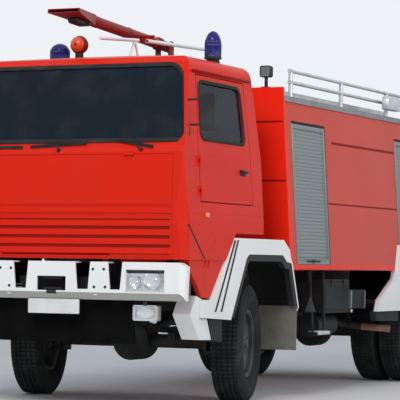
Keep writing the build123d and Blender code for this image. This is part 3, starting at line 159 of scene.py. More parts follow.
class NodeSheet(Nodes):
    """The node tree of one material."""

    SOCKETS = {"base": "Base Color", "rough": "Roughness", "metal": "Metallic", "coat": "Coat Weight",
               "coat_rough": "Coat Roughness", "ior": "IOR", "alpha": "Alpha", "shine": "Specular IOR Level"}

    def __init__(self, name: str) -> None:
        """Starts a material that has a shader, an output and object coordinates."""
        self.material = bpy.data.materials.new(name)
        self.material.use_nodes = True
        super().__init__(self.material.node_tree)
        self.shader = self.node("BsdfPrincipled")
        self.join(self.shader.outputs["BSDF"], self.node("OutputMaterial").inputs["Surface"])
        self.place = self.node("TexCoord").outputs["Object"]

    def noise(self, scale: float, detail: float = 3, stretch: Point = (1, 1, 1)) -> Socket:
        """A cloudy pattern from 0 to 1."""
        mapped = self.node("Mapping", Vector=self.place, Scale=stretch).outputs["Vector"]
        return self.node("TexNoise", Vector=mapped, Scale=scale, Detail=detail, Roughness=0.55).outputs["Fac"]

    def axis(self, name: str) -> Socket:
        """One object coordinate, in metres."""
        return self.node("SeparateXYZ", Vector=self.place).outputs[name]

    def across(self) -> Socket:
        """Distance from the vehicle's middle, in metres."""
        return self.sum("ABSOLUTE", self.axis("X"))

    def facing(self, name: str) -> Socket:
        """One coordinate of the face's own normal."""
        return self.node("SeparateXYZ", Vector=self.node("NewGeometry").outputs["True Normal"]).outputs[name]

    def spread(self, value: object, low: float, high: float, start: float = 0.0, end: float = 1.0) -> Socket:
        """A value between low and high turned into one between start and end, and held there."""
        node = self.node("MapRange", Value=value, From_Min=low, From_Max=high, To_Min=start, To_Max=end)
        node.clamp = True
        return node.outputs["Result"]

    def mix(self, share: object, first: object, second: object) -> Socket:
        """A colour between two colours."""
        node = self.node("Mix")
        node.data_type = "RGBA"
        self.feed(share, node.inputs["Factor"])
        colours = [s for s in node.inputs if s.type == "RGBA"]
        for value, socket in zip((first, second), colours):
            self.feed(value if isinstance(value, Socket) else (*value, 1), socket)
        return [s for s in node.outputs if s.type == "RGBA"][0]

    def bump(self, height: Socket, strength: float, distance: float) -> None:
        """Raises the surface by a pattern of the given depth in metres."""
        node = self.node("Bump", Strength=strength, Distance=distance, Height=height)
        self.join(node.outputs["Normal"], self.shader.inputs["Normal"])

    def edges(self, radius: float) -> Socket:
        """Where the surface turns within a radius: 1 along edges and 0 on flat ground."""
        soft, product = self.node("Bevel", Radius=radius), self.node("VectorMath")
        soft.samples = 4
        product.operation = "DOT_PRODUCT"
        for number, node in enumerate((soft, self.node("NewGeometry"))):
            self.join(node.outputs["Normal"], product.inputs[number])
        return self.spread(product.outputs["Value"], 0.80, 0.98, 1, 0)

    def put(self, **values: object) -> None:
        """Feeds the shader's sockets, by their short names in SOCKETS."""
        for key, value in values.items():
            if key == "base" and not isinstance(value, Socket):
                value = (*value, 1)
            self.feed(value, self.shader.inputs[self.SOCKETS[key]])


@dataclass(frozen=True)
class Gloss:
    """Body paint under a clear coat, a little uneven, with road dust low down."""

    name: str
    colour: Colour
    faded: Colour
    rough: float = 0.32
    coat: float = 0.25
    shine: float = 0.3
    dust: Colour = (0.30, 0.26, 0.21)
    dust_z: Spot = (0.55, 1.35)
    dust_most: float = 0.35

    def material(self) -> bpy.types.Material:
        """Builds the paint."""
        sheet = NodeSheet(self.name)
        cloud = sheet.spread(sheet.noise(1.6, 4), 0.35, 0.7)
        height = sheet.spread(sheet.axis("Z"), *self.dust_z, 1, 0)
        streak = sheet.spread(sheet.noise(3.0, 5, (1, 1, 0.25)), 0.35, 0.75)
        dirt = sheet.times(height, streak, self.dust_most)
        chipped = sheet.times(sheet.edges(0.004), sheet.spread(sheet.noise(24, 4), 0.45, 0.7, 0, 0.5))
        colour = sheet.mix(sheet.times(cloud, 0.55), self.colour, self.faded)
        colour = sheet.mix(dirt, sheet.mix(chipped, colour, self.faded), self.dust)
        sheet.put(base=self.marked(sheet, colour), coat=self.coat, coat_rough=0.08, shine=self.shine)
        sheet.put(rough=sheet.spread(sheet.sum("ADD", dirt, sheet.times(cloud, 0.1)), 0, 0.5, self.rough, 0.75))
        sheet.bump(sheet.noise(55, 1), 0.05, 0.001)
        return sheet.material

    def marked(self, sheet: NodeSheet, colour: Socket) -> Socket:
        """Lays marks over the paint. Plain paint has none."""
        return colour


@dataclass(frozen=True)
class GuardPaint(Gloss):
    """Mudguard paint outside, dark underseal where the surface faces the wheel, and painted shade on the inner faces
    that face in or to the front.
    """

    hub_y: float = 0.0
    hub_z: float = 0.522
    inside: Spot = (1.19, 1.20)
    # Colour of the underseal, also laid as painted shade on the inner faces.
    seal: Colour = (0.012, 0.012, 0.012)

    def marked(self, sheet: NodeSheet, colour: Socket) -> Socket:
        """Lays underseal on what faces the hub, and painted shade inside the outer face on what faces in or to the
        front.
        """
        lines = [sheet.times(sheet.facing(name), sheet.sum("SUBTRACT", hub, sheet.axis(name)))
                 for name, hub in (("Y", self.hub_y), ("Z", self.hub_z))]
        under = sheet.spread(sheet.sum("ADD", *lines), 0.02, 0.08)
        inner = sheet.spread(sheet.across(), *self.inside, 1, 0)
        # Painted shade: inner faces that look sideways or to the front are darkened.
        inward_shade = sheet.times(inner, sheet.spread(sheet.sum("ABSOLUTE", sheet.facing("X")), 0.7, 0.8))
        front_facing_shade = sheet.times(inner, sheet.spread(sheet.facing("Y"), -0.4, -0.3, 1, 0))
        return sheet.mix(sheet.sum("MAXIMUM", under, front_facing_shade, inward_shade), colour, self.seal)


@dataclass(frozen=True)
class RunnerPaint(Gloss):
    """Body paint above, and dark underseal on the runners under the body's floor."""

    floor_z: float = 1.166
    half: float = 1.15
    seal: Colour = (0.012, 0.012, 0.012)

    def marked(self, sheet: NodeSheet, colour: Socket) -> Socket:
        """Lays the underseal on what lies under the floor."""
        low = sheet.spread(sheet.axis("Z"), self.floor_z, self.floor_z + 0.004, 1, 0)
        inside = sheet.spread(sheet.across(), self.half, self.half + 0.01, 1, 0)
        return sheet.mix(sheet.times(low, inside), colour, self.seal)


@dataclass(frozen=True)
class BumperPaint(Gloss):
    """Bumper paint with sunk dark bolts, the notch under the coupling and painted shade on the faces underneath."""

    bolts: tuple[Spot, ...] = ((0.395, 1.167), (0.498, 1.168), (0.408, 1.018), (0.512, 1.019))
    bolt_radius: float = 0.0125
    notch: Triple = (0.046, 0.957, 0.990)
    dark: Colour = (0.014, 0.014, 0.015)
    # Greenish grey painted shade for the faces that look down.
    underside_shade: Colour = (0.36, 0.38, 0.34)

    def marked(self, sheet: NodeSheet, colour: Socket) -> Socket:
        """Darkens the bolts and the notch, and lays painted shade on what faces down."""
        across, height = sheet.across(), sheet.axis("Z")
        away = []
        for x, z in self.bolts:
            dx, dz = sheet.sum("SUBTRACT", across, x), sheet.sum("SUBTRACT", height, z)
            away.append(sheet.sum("SQRT", sheet.sum("ADD", sheet.times(dx, dx), sheet.times(dz, dz))))
        spot = sheet.spread(sheet.sum("MINIMUM", *away), self.bolt_radius - 0.001, self.bolt_radius + 0.002, 1, 0)
        half, low, high = self.notch
        inside = sheet.times(sheet.spread(across, half, half + 0.002, 1, 0), sheet.spread(height, low - 0.002, low),
                             sheet.spread(height, high, high + 0.002, 1, 0))
        colour = sheet.mix(sheet.spread(sheet.facing("Z"), -0.5, -0.3, 0.9, 0), colour, self.underside_shade)
        return sheet.mix(sheet.sum("MAXIMUM", spot, inside), colour, self.dark)


@dataclass(frozen=True)
class Matt:
    """Chassis paint, rubber or plastic with grain, dust and worn patches."""

    name: str
    colour: Colour
    worn: Colour
    rough: float = 0.6
    grain: float = 90.0
    depth: float = 0.0006
    metal: float = 0.0
    shine: float = 0.2

    def material(self) -> bpy.types.Material:
        """Builds the surface."""
        sheet = NodeSheet(self.name)
        patch = sheet.spread(sheet.noise(7, 5), 0.42, 0.72)
        rubbed = sheet.times(sheet.edges(0.003), sheet.spread(sheet.noise(30, 3), 0.4, 0.7, 0.1, 0.6))
        share = sheet.sum("MAXIMUM", sheet.times(patch, 0.7), rubbed)
        sheet.put(base=sheet.mix(share, self.colour, self.worn), metal=self.metal, shine=self.shine)
        sheet.put(rough=sheet.spread(patch, 0, 1, self.rough, min(self.rough + 0.2, 1)))
        sheet.bump(sheet.noise(self.grain, 3), 0.4, self.depth)
        return sheet.material


@dataclass(frozen=True)
class Glazing:
    """Tinted window glass with a little dust."""

    name: str
    colour: Colour
    alpha: float
    shine: float

    def material(self) -> bpy.types.Material:
        """Builds the glass."""
        sheet = NodeSheet(self.name)
        dust = sheet.spread(sheet.noise(4, 4), 0.45, 0.8, 0, 0.08)
        sheet.put(base=sheet.mix(dust, self.colour, (0.2, 0.2, 0.19)), rough=sheet.spread(dust, 0, 0.2, 0.04, 0.2),
                  alpha=self.alpha, ior=1.5, shine=self.shine)
        sheet.material.surface_render_method = "BLENDED"
        return sheet.material


@dataclass(frozen=True)
class Slats:
    """Anodised shutter slats: pale grey with fine level grooves."""

    name: str
    colour: Colour
    pitch: float = 0.034

    def material(self) -> bpy.types.Material:
        """Builds the shutter's surface."""
        sheet = NodeSheet(self.name)
        row = sheet.sum("FRACT", sheet.sum("DIVIDE", sheet.axis("Z"), self.pitch))
        from_middle = sheet.sum("ABSOLUTE", sheet.sum("SUBTRACT", sheet.times(row, 2.0), 1.0))
        brushed = sheet.noise(40, 3, (1, 0.04, 6))
        sheet.put(base=sheet.mix(brushed, self.colour, tuple(share * 0.82 for share in self.colour)), metal=0.35,
                  rough=sheet.spread(brushed, 0, 1, 0.42, 0.56))
        sheet.bump(sheet.sum("SUBTRACT", 1.0, sheet.sum("POWER", from_middle, 6.0)), 0.5, 0.0015)
        return sheet.material


WHITES = ((0.80, 0.80, 0.78), (0.74, 0.74, 0.71))
"""White paint, fresh and faded."""

PALE_DUST = (0.42, 0.39, 0.33)


class Finish(Enum):
    """Every finish: its look, the record's slot that it belongs to, and the CAD's nodes that wear it."""

    RED = (Gloss("red_paint", (0.67, 0.015, 0.004), (0.60, 0.024, 0.010), coat=0.06, shine=0.08),
           "paint_red", "cab_shell", "front_flap", "left_door", "right_door", "cab_skirts")
    # A brighter copy of the red paint: painted light on the body's front, which lies in the cab's shadow.
    FRAME_RED_PAINTED_LIGHT = (RunnerPaint("body_frame_red_painted_light", (0.92, 0.020, 0.006), (0.84, 0.030, 0.012), coat=0.06, shine=0.08),
                 "paint_red", "body_frame")
    BODY_RED = (Gloss("body_side_red", (0.59, 0.034, 0.012), (0.54, 0.052, 0.024), rough=0.40, coat=0.12, shine=0.2),
                "paint_red", "body_side_left", "body_side_right")
    DEEP_RED = (Gloss("shaded_red", (0.27, 0.006, 0.004), (0.22, 0.008, 0.005), rough=0.5, coat=0.0, shine=0.08,
                      dust_most=0.1), "paint_red")
    WHITE = (Gloss("white_paint", *WHITES, dust=PALE_DUST, dust_most=0.4), "paint_white", "corner_posts", "roof_stay")
    BUMPER = (BumperPaint("bumper_paint", (0.82, 0.82, 0.80), (0.76, 0.76, 0.73), dust=PALE_DUST, dust_most=0.3),
              "paint_white", "front_bumper")
    FRONT_GUARD = (GuardPaint("front_guard_paint", *WHITES, dust=PALE_DUST, hub_y=-2.005),
                   "paint_white", "front_mudguards")
    REAR_GUARD = (GuardPaint("rear_guard_paint", *WHITES, dust=PALE_DUST, hub_y=2.295), "paint_white", "rear_mudguards")
    BLACK = (Matt("chassis_black", (0.014, 0.015, 0.016), (0.04, 0.038, 0.035), rough=0.55), "chassis_paint",
             "frame", "leaf_springs", "front_coupling", "stirrup_steps", "rear_beam", "cab_mounts")
    SHADE = (Matt("shield_black", (0.004, 0.004, 0.004), (0.009, 0.008, 0.008), rough=0.9, shine=0.05),
             "chassis_paint", "splash_shield", "radiator")
    AXLE = (Matt("axle_casting", (0.03, 0.03, 0.03), (0.09, 0.085, 0.075)), "axle_metal",
            "front_axle", "rear_axle", "knuckle_left", "knuckle_right", "driveline", "engine")
    TANK = (Matt("tank_grey", (0.022, 0.026, 0.027), (0.045, 0.046, 0.044), rough=0.5, shine=0.08),
            "tank_paint", "side_boxes", "fuel_tank", "air_tank", "tread_boxes")
    TYRE = (Matt("tyre_rubber", (0.020, 0.021, 0.022), (0.052, 0.051, 0.048), rough=0.85, grain=160, shine=0.1),
            "tyre", "front_left_tyre", "front_right_tyre", "rear_left_tyre", "rear_right_tyre")
    RIM = (Matt("rim_grey", (0.05, 0.055, 0.058), (0.13, 0.13, 0.125), rough=0.45, metal=0.3),
           "rim_paint", "front_left_rim", "front_right_rim", "rear_left_rim", "rear_right_rim")
    NUT = (Matt("nut_steel", (0.11, 0.115, 0.12), (0.22, 0.21, 0.20), rough=0.4, metal=0.6), "rim_paint")
    RUST = (Matt("rusty_pipe", (0.36, 0.19, 0.12), (0.52, 0.34, 0.24), rough=0.85, grain=60), "engine_metal")
    FLAP = (Matt("mudflap_rubber", (0.23, 0.22, 0.185), (0.15, 0.145, 0.125), rough=0.85), "flap_rubber", "mudflaps")
    RUBBER = (Matt("seal_rubber", (0.014, 0.014, 0.015), (0.045, 0.045, 0.044), rough=0.7, grain=140), "lip_rubber")
    TRIM = (Matt("black_plastic", (0.02, 0.02, 0.022), (0.05, 0.05, 0.05), rough=0.5),
            "wheel_grip", "mirrors", "steering_wheel", "arch_lips")
    CABIN = (Matt("cabin_grey", (0.03, 0.033, 0.036), (0.05, 0.052, 0.055), rough=0.7), "interior", "dashboard")
    SEAT = (Matt("seat_cloth", (0.05, 0.05, 0.055), (0.08, 0.08, 0.085), rough=0.95, grain=260), "seat_cover", "seats")
    ROOF = (Matt("roof_sheet", (0.30, 0.31, 0.315), (0.22, 0.225, 0.225), rough=0.7, metal=0.3),
            "aluminium", "body_roof")
    ALLOY = (Matt("bare_aluminium", (0.62, 0.64, 0.65), (0.46, 0.47, 0.47), rough=0.35, metal=0.8, shine=0.5),
             "aluminium", "roof_rails", "rear_ladder", "roof_ladder")
    SILVER = (Matt("lamp_reflector", (0.80, 0.81, 0.82), (0.66, 0.67, 0.68), rough=0.12, metal=0.9, depth=0.0001),
              "aluminium")
    MIRROR = (Matt("mirror_silver", (0.76, 0.78, 0.79), (0.70, 0.72, 0.73), rough=0.06, metal=1.0, depth=0.00005),
              "aluminium")
    PLATE = (Matt("blank_plate", (0.70, 0.70, 0.68), (0.58, 0.57, 0.54), rough=0.45, depth=0.0001), "paint_white")
    SHUTTER = (Slats("shutter_slats", (0.25, 0.285, 0.28)), "shutter", "roller_shutters")
    GLASS = (Glazing("window_glass", (0.006, 0.012, 0.020), 0.91, 0.10),
             "glass", "cab_glass", "left_door_glass", "right_door_glass")
    LENS = (Glazing("lamp_lens", (0.75, 0.78, 0.8), 0.22, 0.5), "lamp_glass", "front_lamps")
    REAR_RED = (Gloss("rear_lens", (0.42, 0.008, 0.008), (0.36, 0.015, 0.015), rough=0.2, coat=0.3, dust_most=0.0),
                "rear_lamp", "rear_lamps")
    BLUE = (Gloss("beacon_blue", (0.008, 0.010, 0.12), (0.014, 0.018, 0.17), rough=0.15, coat=0.2, shine=0.2,
                  dust_most=0.0), "beacon_blue", "beacons")
    HORN = (Gloss("siren_red", (0.75, 0.07, 0.015), (0.7, 0.09, 0.03), dust_most=0.0), "siren_red", "siren")
    AMBER = (Gloss("marker_amber", (0.80, 0.20, 0.01), (0.72, 0.22, 0.03), rough=0.15, coat=1.0, dust_most=0.0),
             "siren_red")
    MONITOR_RED = (Gloss("monitor_red", (0.27, 0.011, 0.012), (0.21, 0.022, 0.018), coat=0.08, shine=0.1,
                         dust_most=0.0), "paint_red", "monitor_base", "monitor_turret", "monitor_barrel")

    def __init__(self, look: Gloss | Matt | Glazing | Slats, slot: str, *nodes: str) -> None:
        """Keeps the three parts of the value apart."""
        self.look, self.slot, self.nodes = look, slot, nodes


def only(obj: Object) -> None:
    """Selects one object and makes it the active one."""
    bpy.ops.object.select_all(action="DESELECT")
    obj.select_set(True)
    bpy.context.view_layer.objects.active = obj


def settled(name: str) -> Object:
    """Names the new object and moves its place, turn and size into its mesh."""
    obj = bpy.context.object
    obj.name = name
    obj.data.name = name
    bpy.ops.object.transform_apply(location=True, rotation=True, scale=True)
    return obj


def box(name: str, low: Place, high: Place, edge: float = 0.0, segments: int = 2) -> Object:
    """A box between two corners.

    Args:
        name: Name of the new object.
        low: Its lowest corner.
        high: Its highest corner.
        edge: Width of the rounding of its edges, 0 for none.
        segments: Number of steps of the rounding.

    Returns:
        The box.
    """
    low, high = placed(low), placed(high)
    bpy.ops.object.select_all(action="DESELECT")
    bpy.ops.mesh.primitive_cube_add(size=1, location=(low + high) / 2)
    bpy.context.object.scale = high - low
    made = settled(name)
    return rounded(made, edge, segments) if edge else made


def rod(name: str, start: Place, end: Place, radius: float, end_radius: float | None = None, sides: int = 24) -> Object:
    """A round bar or a cone between two points.

    Args:
        name: Name of the new object.
        start: Middle of the first end.
        end: Middle of the other end.
        radius: Radius at the first end.
        end_radius: Radius at the other end, the same where it is None.
        sides: Number of flat sides.

    Returns:
        The bar.
    """
    start, end = placed(start), placed(end)
    bpy.ops.object.select_all(action="DESELECT")
    line = end - start
    bpy.ops.mesh.primitive_cone_add(
        vertices=sides, radius1=radius, radius2=radius if end_radius is None else end_radius, depth=line.length,
        location=(start + end) / 2, rotation=line.to_track_quat("Z", "Y").to_euler())
    return settled(name)


def loop(name: str, corners: Sequence[Vector], filled: bool = True) -> Object:
    """A flat face, or a ring of edges where it isn't filled, with the given corners."""
    bpy.ops.object.select_all(action="DESELECT")
    bpy.ops.mesh.primitive_circle_add(vertices=len(corners), radius=1,
                                      fill_type="NGON" if filled else "NOTHING", location=(0, 0, 0))
    obj = settled(name)
    for vertex, corner in zip(obj.data.vertices, corners):
        vertex.co = corner
    obj.data.update()
    return obj


@contextmanager


def edit(obj: Object, mode: str = "FACE", taken: bool = False) -> Iterator[None]:
    """Edit mode on one object, with nothing or everything selected at first."""
    only(obj)
    bpy.ops.object.mode_set(mode="EDIT")
    bpy.ops.mesh.select_mode(type=mode)
    bpy.ops.mesh.select_all(action="SELECT" if taken else "DESELECT")
    yield
    bpy.ops.object.mode_set(mode="OBJECT")


def pick(obj: Object, test: Test) -> None:
    """Selects what passes a test of its middle and its normal, or its direction for an edge.

    Args:
        obj: The object in edit mode.
        test: Says whether a vertex, edge or face is taken.
    """
    mesh = bmesh.from_edit_mesh(obj.data)
    by_vertex, by_edge, _ = bpy.context.tool_settings.mesh_select_mode
    if by_vertex:
        for vertex in mesh.verts:
            vertex.select_set(test(vertex.co, vertex.normal))
    elif by_edge:
        for edge in mesh.edges:
            first, second = (vertex.co for vertex in edge.verts)
            edge.select_set(test((first + second) / 2, (second - first).normalized()))
    else:
        for face in mesh.faces:
            face.select_set(test(face.calc_center_median(), face.normal))
    mesh.select_flush_mode()
    bmesh.update_edit_mesh(obj.data)


def bevel(width: float, segments: int = 2, corners: bool = False) -> None:
    """Rounds the selected edges, or the corners of a flat face."""
    bpy.ops.mesh.bevel(offset=width, offset_type="OFFSET", segments=segments, affect="VERTICES" if corners else "EDGES")


def inset(border: float, depth: float = 0.0, each: bool = False) -> None:
    """Draws the selected faces in by a border and raises or sinks them."""
    bpy.ops.mesh.inset(thickness=border, depth=depth, use_individual=each)


def extrude(way: Vector) -> None:
    """Extrudes the selected faces along a way."""
    bpy.ops.mesh.extrude_region_move(TRANSFORM_OT_translate={"value": way})


def hollow(border: float) -> None:
    """Leaves only a border of the flat face that is being edited."""
    bpy.ops.mesh.select_mode(type="FACE")
    bpy.ops.mesh.select_all(action="SELECT")
    inset(border)
    bpy.ops.mesh.delete(type="FACE")


def softened(obj: Object, test: Test, width: float, segments: int = 4) -> Object:
    """Rounds the edges that pass a test."""
    with edit(obj, "EDGE"):
        pick(obj, test)
        bevel(width, segments)
    return obj


def pressed(obj: Object, test: Test, *steps: Vector | tuple[float, ...], each: bool = False) -> Object:
    """Draws in, raises or sinks the faces that pass a test.

    Args:
        obj: The piece.
        test: Says which faces are taken.
        steps: One after the other, insets as a border and a depth, and extrusions as a vector.
        each: Whether every face is inset for itself.

    Returns:
        The same piece.
    """
    with edit(obj):
        pick(obj, test)
        for step in steps:
            if isinstance(step, Vector):
                extrude(step)
            else:
                inset(*step, each=each)
    return obj


def modify(obj: Object, kind: str, **settings: object) -> Object:
    """Adds a modifier with its settings and applies it."""
    only(obj)
    bpy.ops.object.modifier_add(type=kind)
    modifier = obj.modifiers[-1]
    for key, value in settings.items():
        setattr(modifier, key, value)
    bpy.ops.object.modifier_apply(modifier=modifier.name)
    return obj


def rounded(obj: Object, width: float, segments: int = 2) -> Object:
    """Rounds all the sharp edges of a piece."""
    return modify(obj, "BEVEL", width=width, segments=segments, limit_method="ANGLE", angle_limit=math.radians(35))


def thick(obj: Object, thickness: float, offset: float = -1.0) -> Object:
    """Gives a sheet its thickness."""
    return modify(obj, "SOLIDIFY", thickness=thickness, offset=offset)


def frame_of(name: str, corners: Sequence[Vector], radius: float, border: float, thickness: float,
             offset: float = 1.0, edge: float = 0.00242, segments: int = 6) -> Object:
    """A flat frame with round corners, such as a window rubber.

    Args:
        name: Name of the new object.
        corners: The outer corners, anticlockwise as seen from outside.
        radius: Radius of the outer corners.
        border: Width of the frame.
        thickness: How far it stands out of its plane.
        offset: Which side the thickness goes to, from -1 to 1.
        edge: Width of the rounding of its edges.
        segments: Number of steps round a corner.

    Returns:
        The frame.
    """
    obj = loop(name, corners)
    with edit(obj, "VERT", taken=True):
        bevel(radius, segments, corners=True)
        hollow(border)
    return rounded(thick(obj, thickness, offset), edge)


def plate_of(name: str, corners: Sequence[Vector], thickness: float, radius: float = 0.0, edge: float = 0.0) -> Object:
    """A plate with round corners and softened edges.

    Args:
        name: Name of the new object.
        corners: Its corners, anticlockwise as seen from outside.
        thickness: Its thickness, built inwards.
        radius: Radius of its corners.
        edge: Width of the rounding of its edges.

    Returns:
        The plate.
    """
    obj = loop(name, corners)
    if radius:
        with edit(obj, "VERT", taken=True):
            bevel(radius, 5, corners=True)
    thick(obj, thickness)
    return rounded(obj, edge) if edge else obj


def blank_plate(name: str, corners: Sequence[Vector], thickness: float) -> Object:
    """A blank number plate with round corners and a raised rim."""
    obj = loop(name, corners)
    with edit(obj, "VERT", taken=True):
        bevel(0.009, 4, corners=True)
        bpy.ops.mesh.select_mode(type="FACE")
        bpy.ops.mesh.select_all(action="SELECT")
        inset(0.005, 0.0008)
        inset(0.001, -0.0008)
    return thick(obj, thickness)


def turned(name: str, profile: Sequence[Spot], centre: Vector, axis: Vector, steps: int = 40,
           closed: bool = False) -> Object:
    """A profile turned once round an axis.

    Args:
        name: Name of the new object.
        profile: Points of the profile, each a radius and how far it is along the axis.
        centre: The point of the axis that the profile is measured from.
        axis: Direction of the axis.
        steps: Number of steps of the turn.
        closed: Whether the profile's ends are joined.

    Returns:
        The turned piece.
    """
    side = Z if axis is X else X
    section = [centre + side * radius + axis * reach for radius, reach in profile]
    obj = loop(name, section, filled=False)
    with edit(obj, "EDGE"):
        if not closed:
            middle = (section[0] + section[-1]) / 2
            pick(obj, lambda place, way: (place - middle).length < 1e-6)
            bpy.ops.mesh.delete(type="EDGE")
        bpy.ops.mesh.select_all(action="SELECT")
        bpy.ops.mesh.spin(steps=steps, angle=math.tau, center=centre, axis=axis)
        bpy.ops.mesh.select_all(action="SELECT")
        bpy.ops.mesh.remove_doubles(threshold=1e-5)
        bpy.ops.mesh.normals_make_consistent(inside=False)
    return obj


def copied(obj: Object, name: str, matrix: Matrix) -> Object:
    """A copy with its own mesh, moved or mirrored by a matrix."""
    twin = bpy.data.objects.new(name, obj.data.copy())
    twin.data.transform(matrix)
    if matrix.determinant() < 0:
        twin.data.flip_normals()
    bpy.context.scene.collection.objects.link(twin)
    return twin


def repeated(obj: Object, matrices: Sequence[Matrix]) -> list[Object]:
    """Copies of a piece at several places, in its stead."""
    copies = [copied(obj, obj.name, matrix) for matrix in matrices]
    bpy.data.objects.remove(obj)
    return copies


def joined(name: str, pieces: Sequence[Object]) -> Object:
    """Several pieces made one object."""
    only(pieces[0])
    for piece in pieces:
        piece.select_set(True)
    if len(pieces) > 1:
        bpy.ops.object.join()
    pieces[0].name = name
    return pieces[0]


@dataclass
class Workshop:
    """Hands each finished piece over: its shading, finish and body."""

    made: dict[Finish, bpy.types.Material] = field(default_factory=dict)

    def dress(self, obj: Object, finish: Finish) -> None:
        """Gives an object one finish all over, which is made when it is first used."""
        if finish not in self.made:
            self.made[finish] = finish.look.material()
        obj.data.materials.clear()
        obj.data.materials.append(self.made[finish])

    def dress_nodes(self) -> None:
        """Dresses the CAD's own nodes."""
        for finish in Finish:
            for name in finish.nodes:
                self.dress(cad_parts[name], finish)
                LOG.info("dressed %s", name)

    def deliver(self, obj: Object, finish: Finish, body: str = "chassis", smooth: float = 35.0) -> Object:
        """Shades and dresses a piece and lets it ride on a body.

        Args:
            obj: The finished piece.
            finish: Its finish.
            body: The body that it moves with.
            smooth: Angle in degrees below which its edges look smooth.

        Returns:
            The same piece.
        """
        only(obj)
        bpy.ops.object.shade_smooth_by_angle(angle=math.radians(smooth))
        self.dress(obj, finish)
        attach(obj, body)
        LOG.info("built %s: %d faces", obj.name, len(obj.data.polygons))
        return obj

    def both(self, obj: Object, finish: Finish, bodies: tuple[str, str] = ("chassis", "chassis"),
             smooth: float = 35.0) -> tuple[Object, Object]:
        """Delivers a left piece and its mirrored twin.

        Args:
            obj: The left piece.
            finish: The finish of both.
            bodies: The left and the right piece's bodies.
            smooth: Angle in degrees below which their edges look smooth.

        Returns:
            The left and the right piece.
        """
        name = obj.name
        twin = copied(obj, f"{name}_right", Matrix.Scale(-1, 4, X))
        obj.name = f"{name}_left"
        return self.deliver(obj, finish, bodies[0], smooth), self.deliver(twin, finish, bodies[1], smooth)


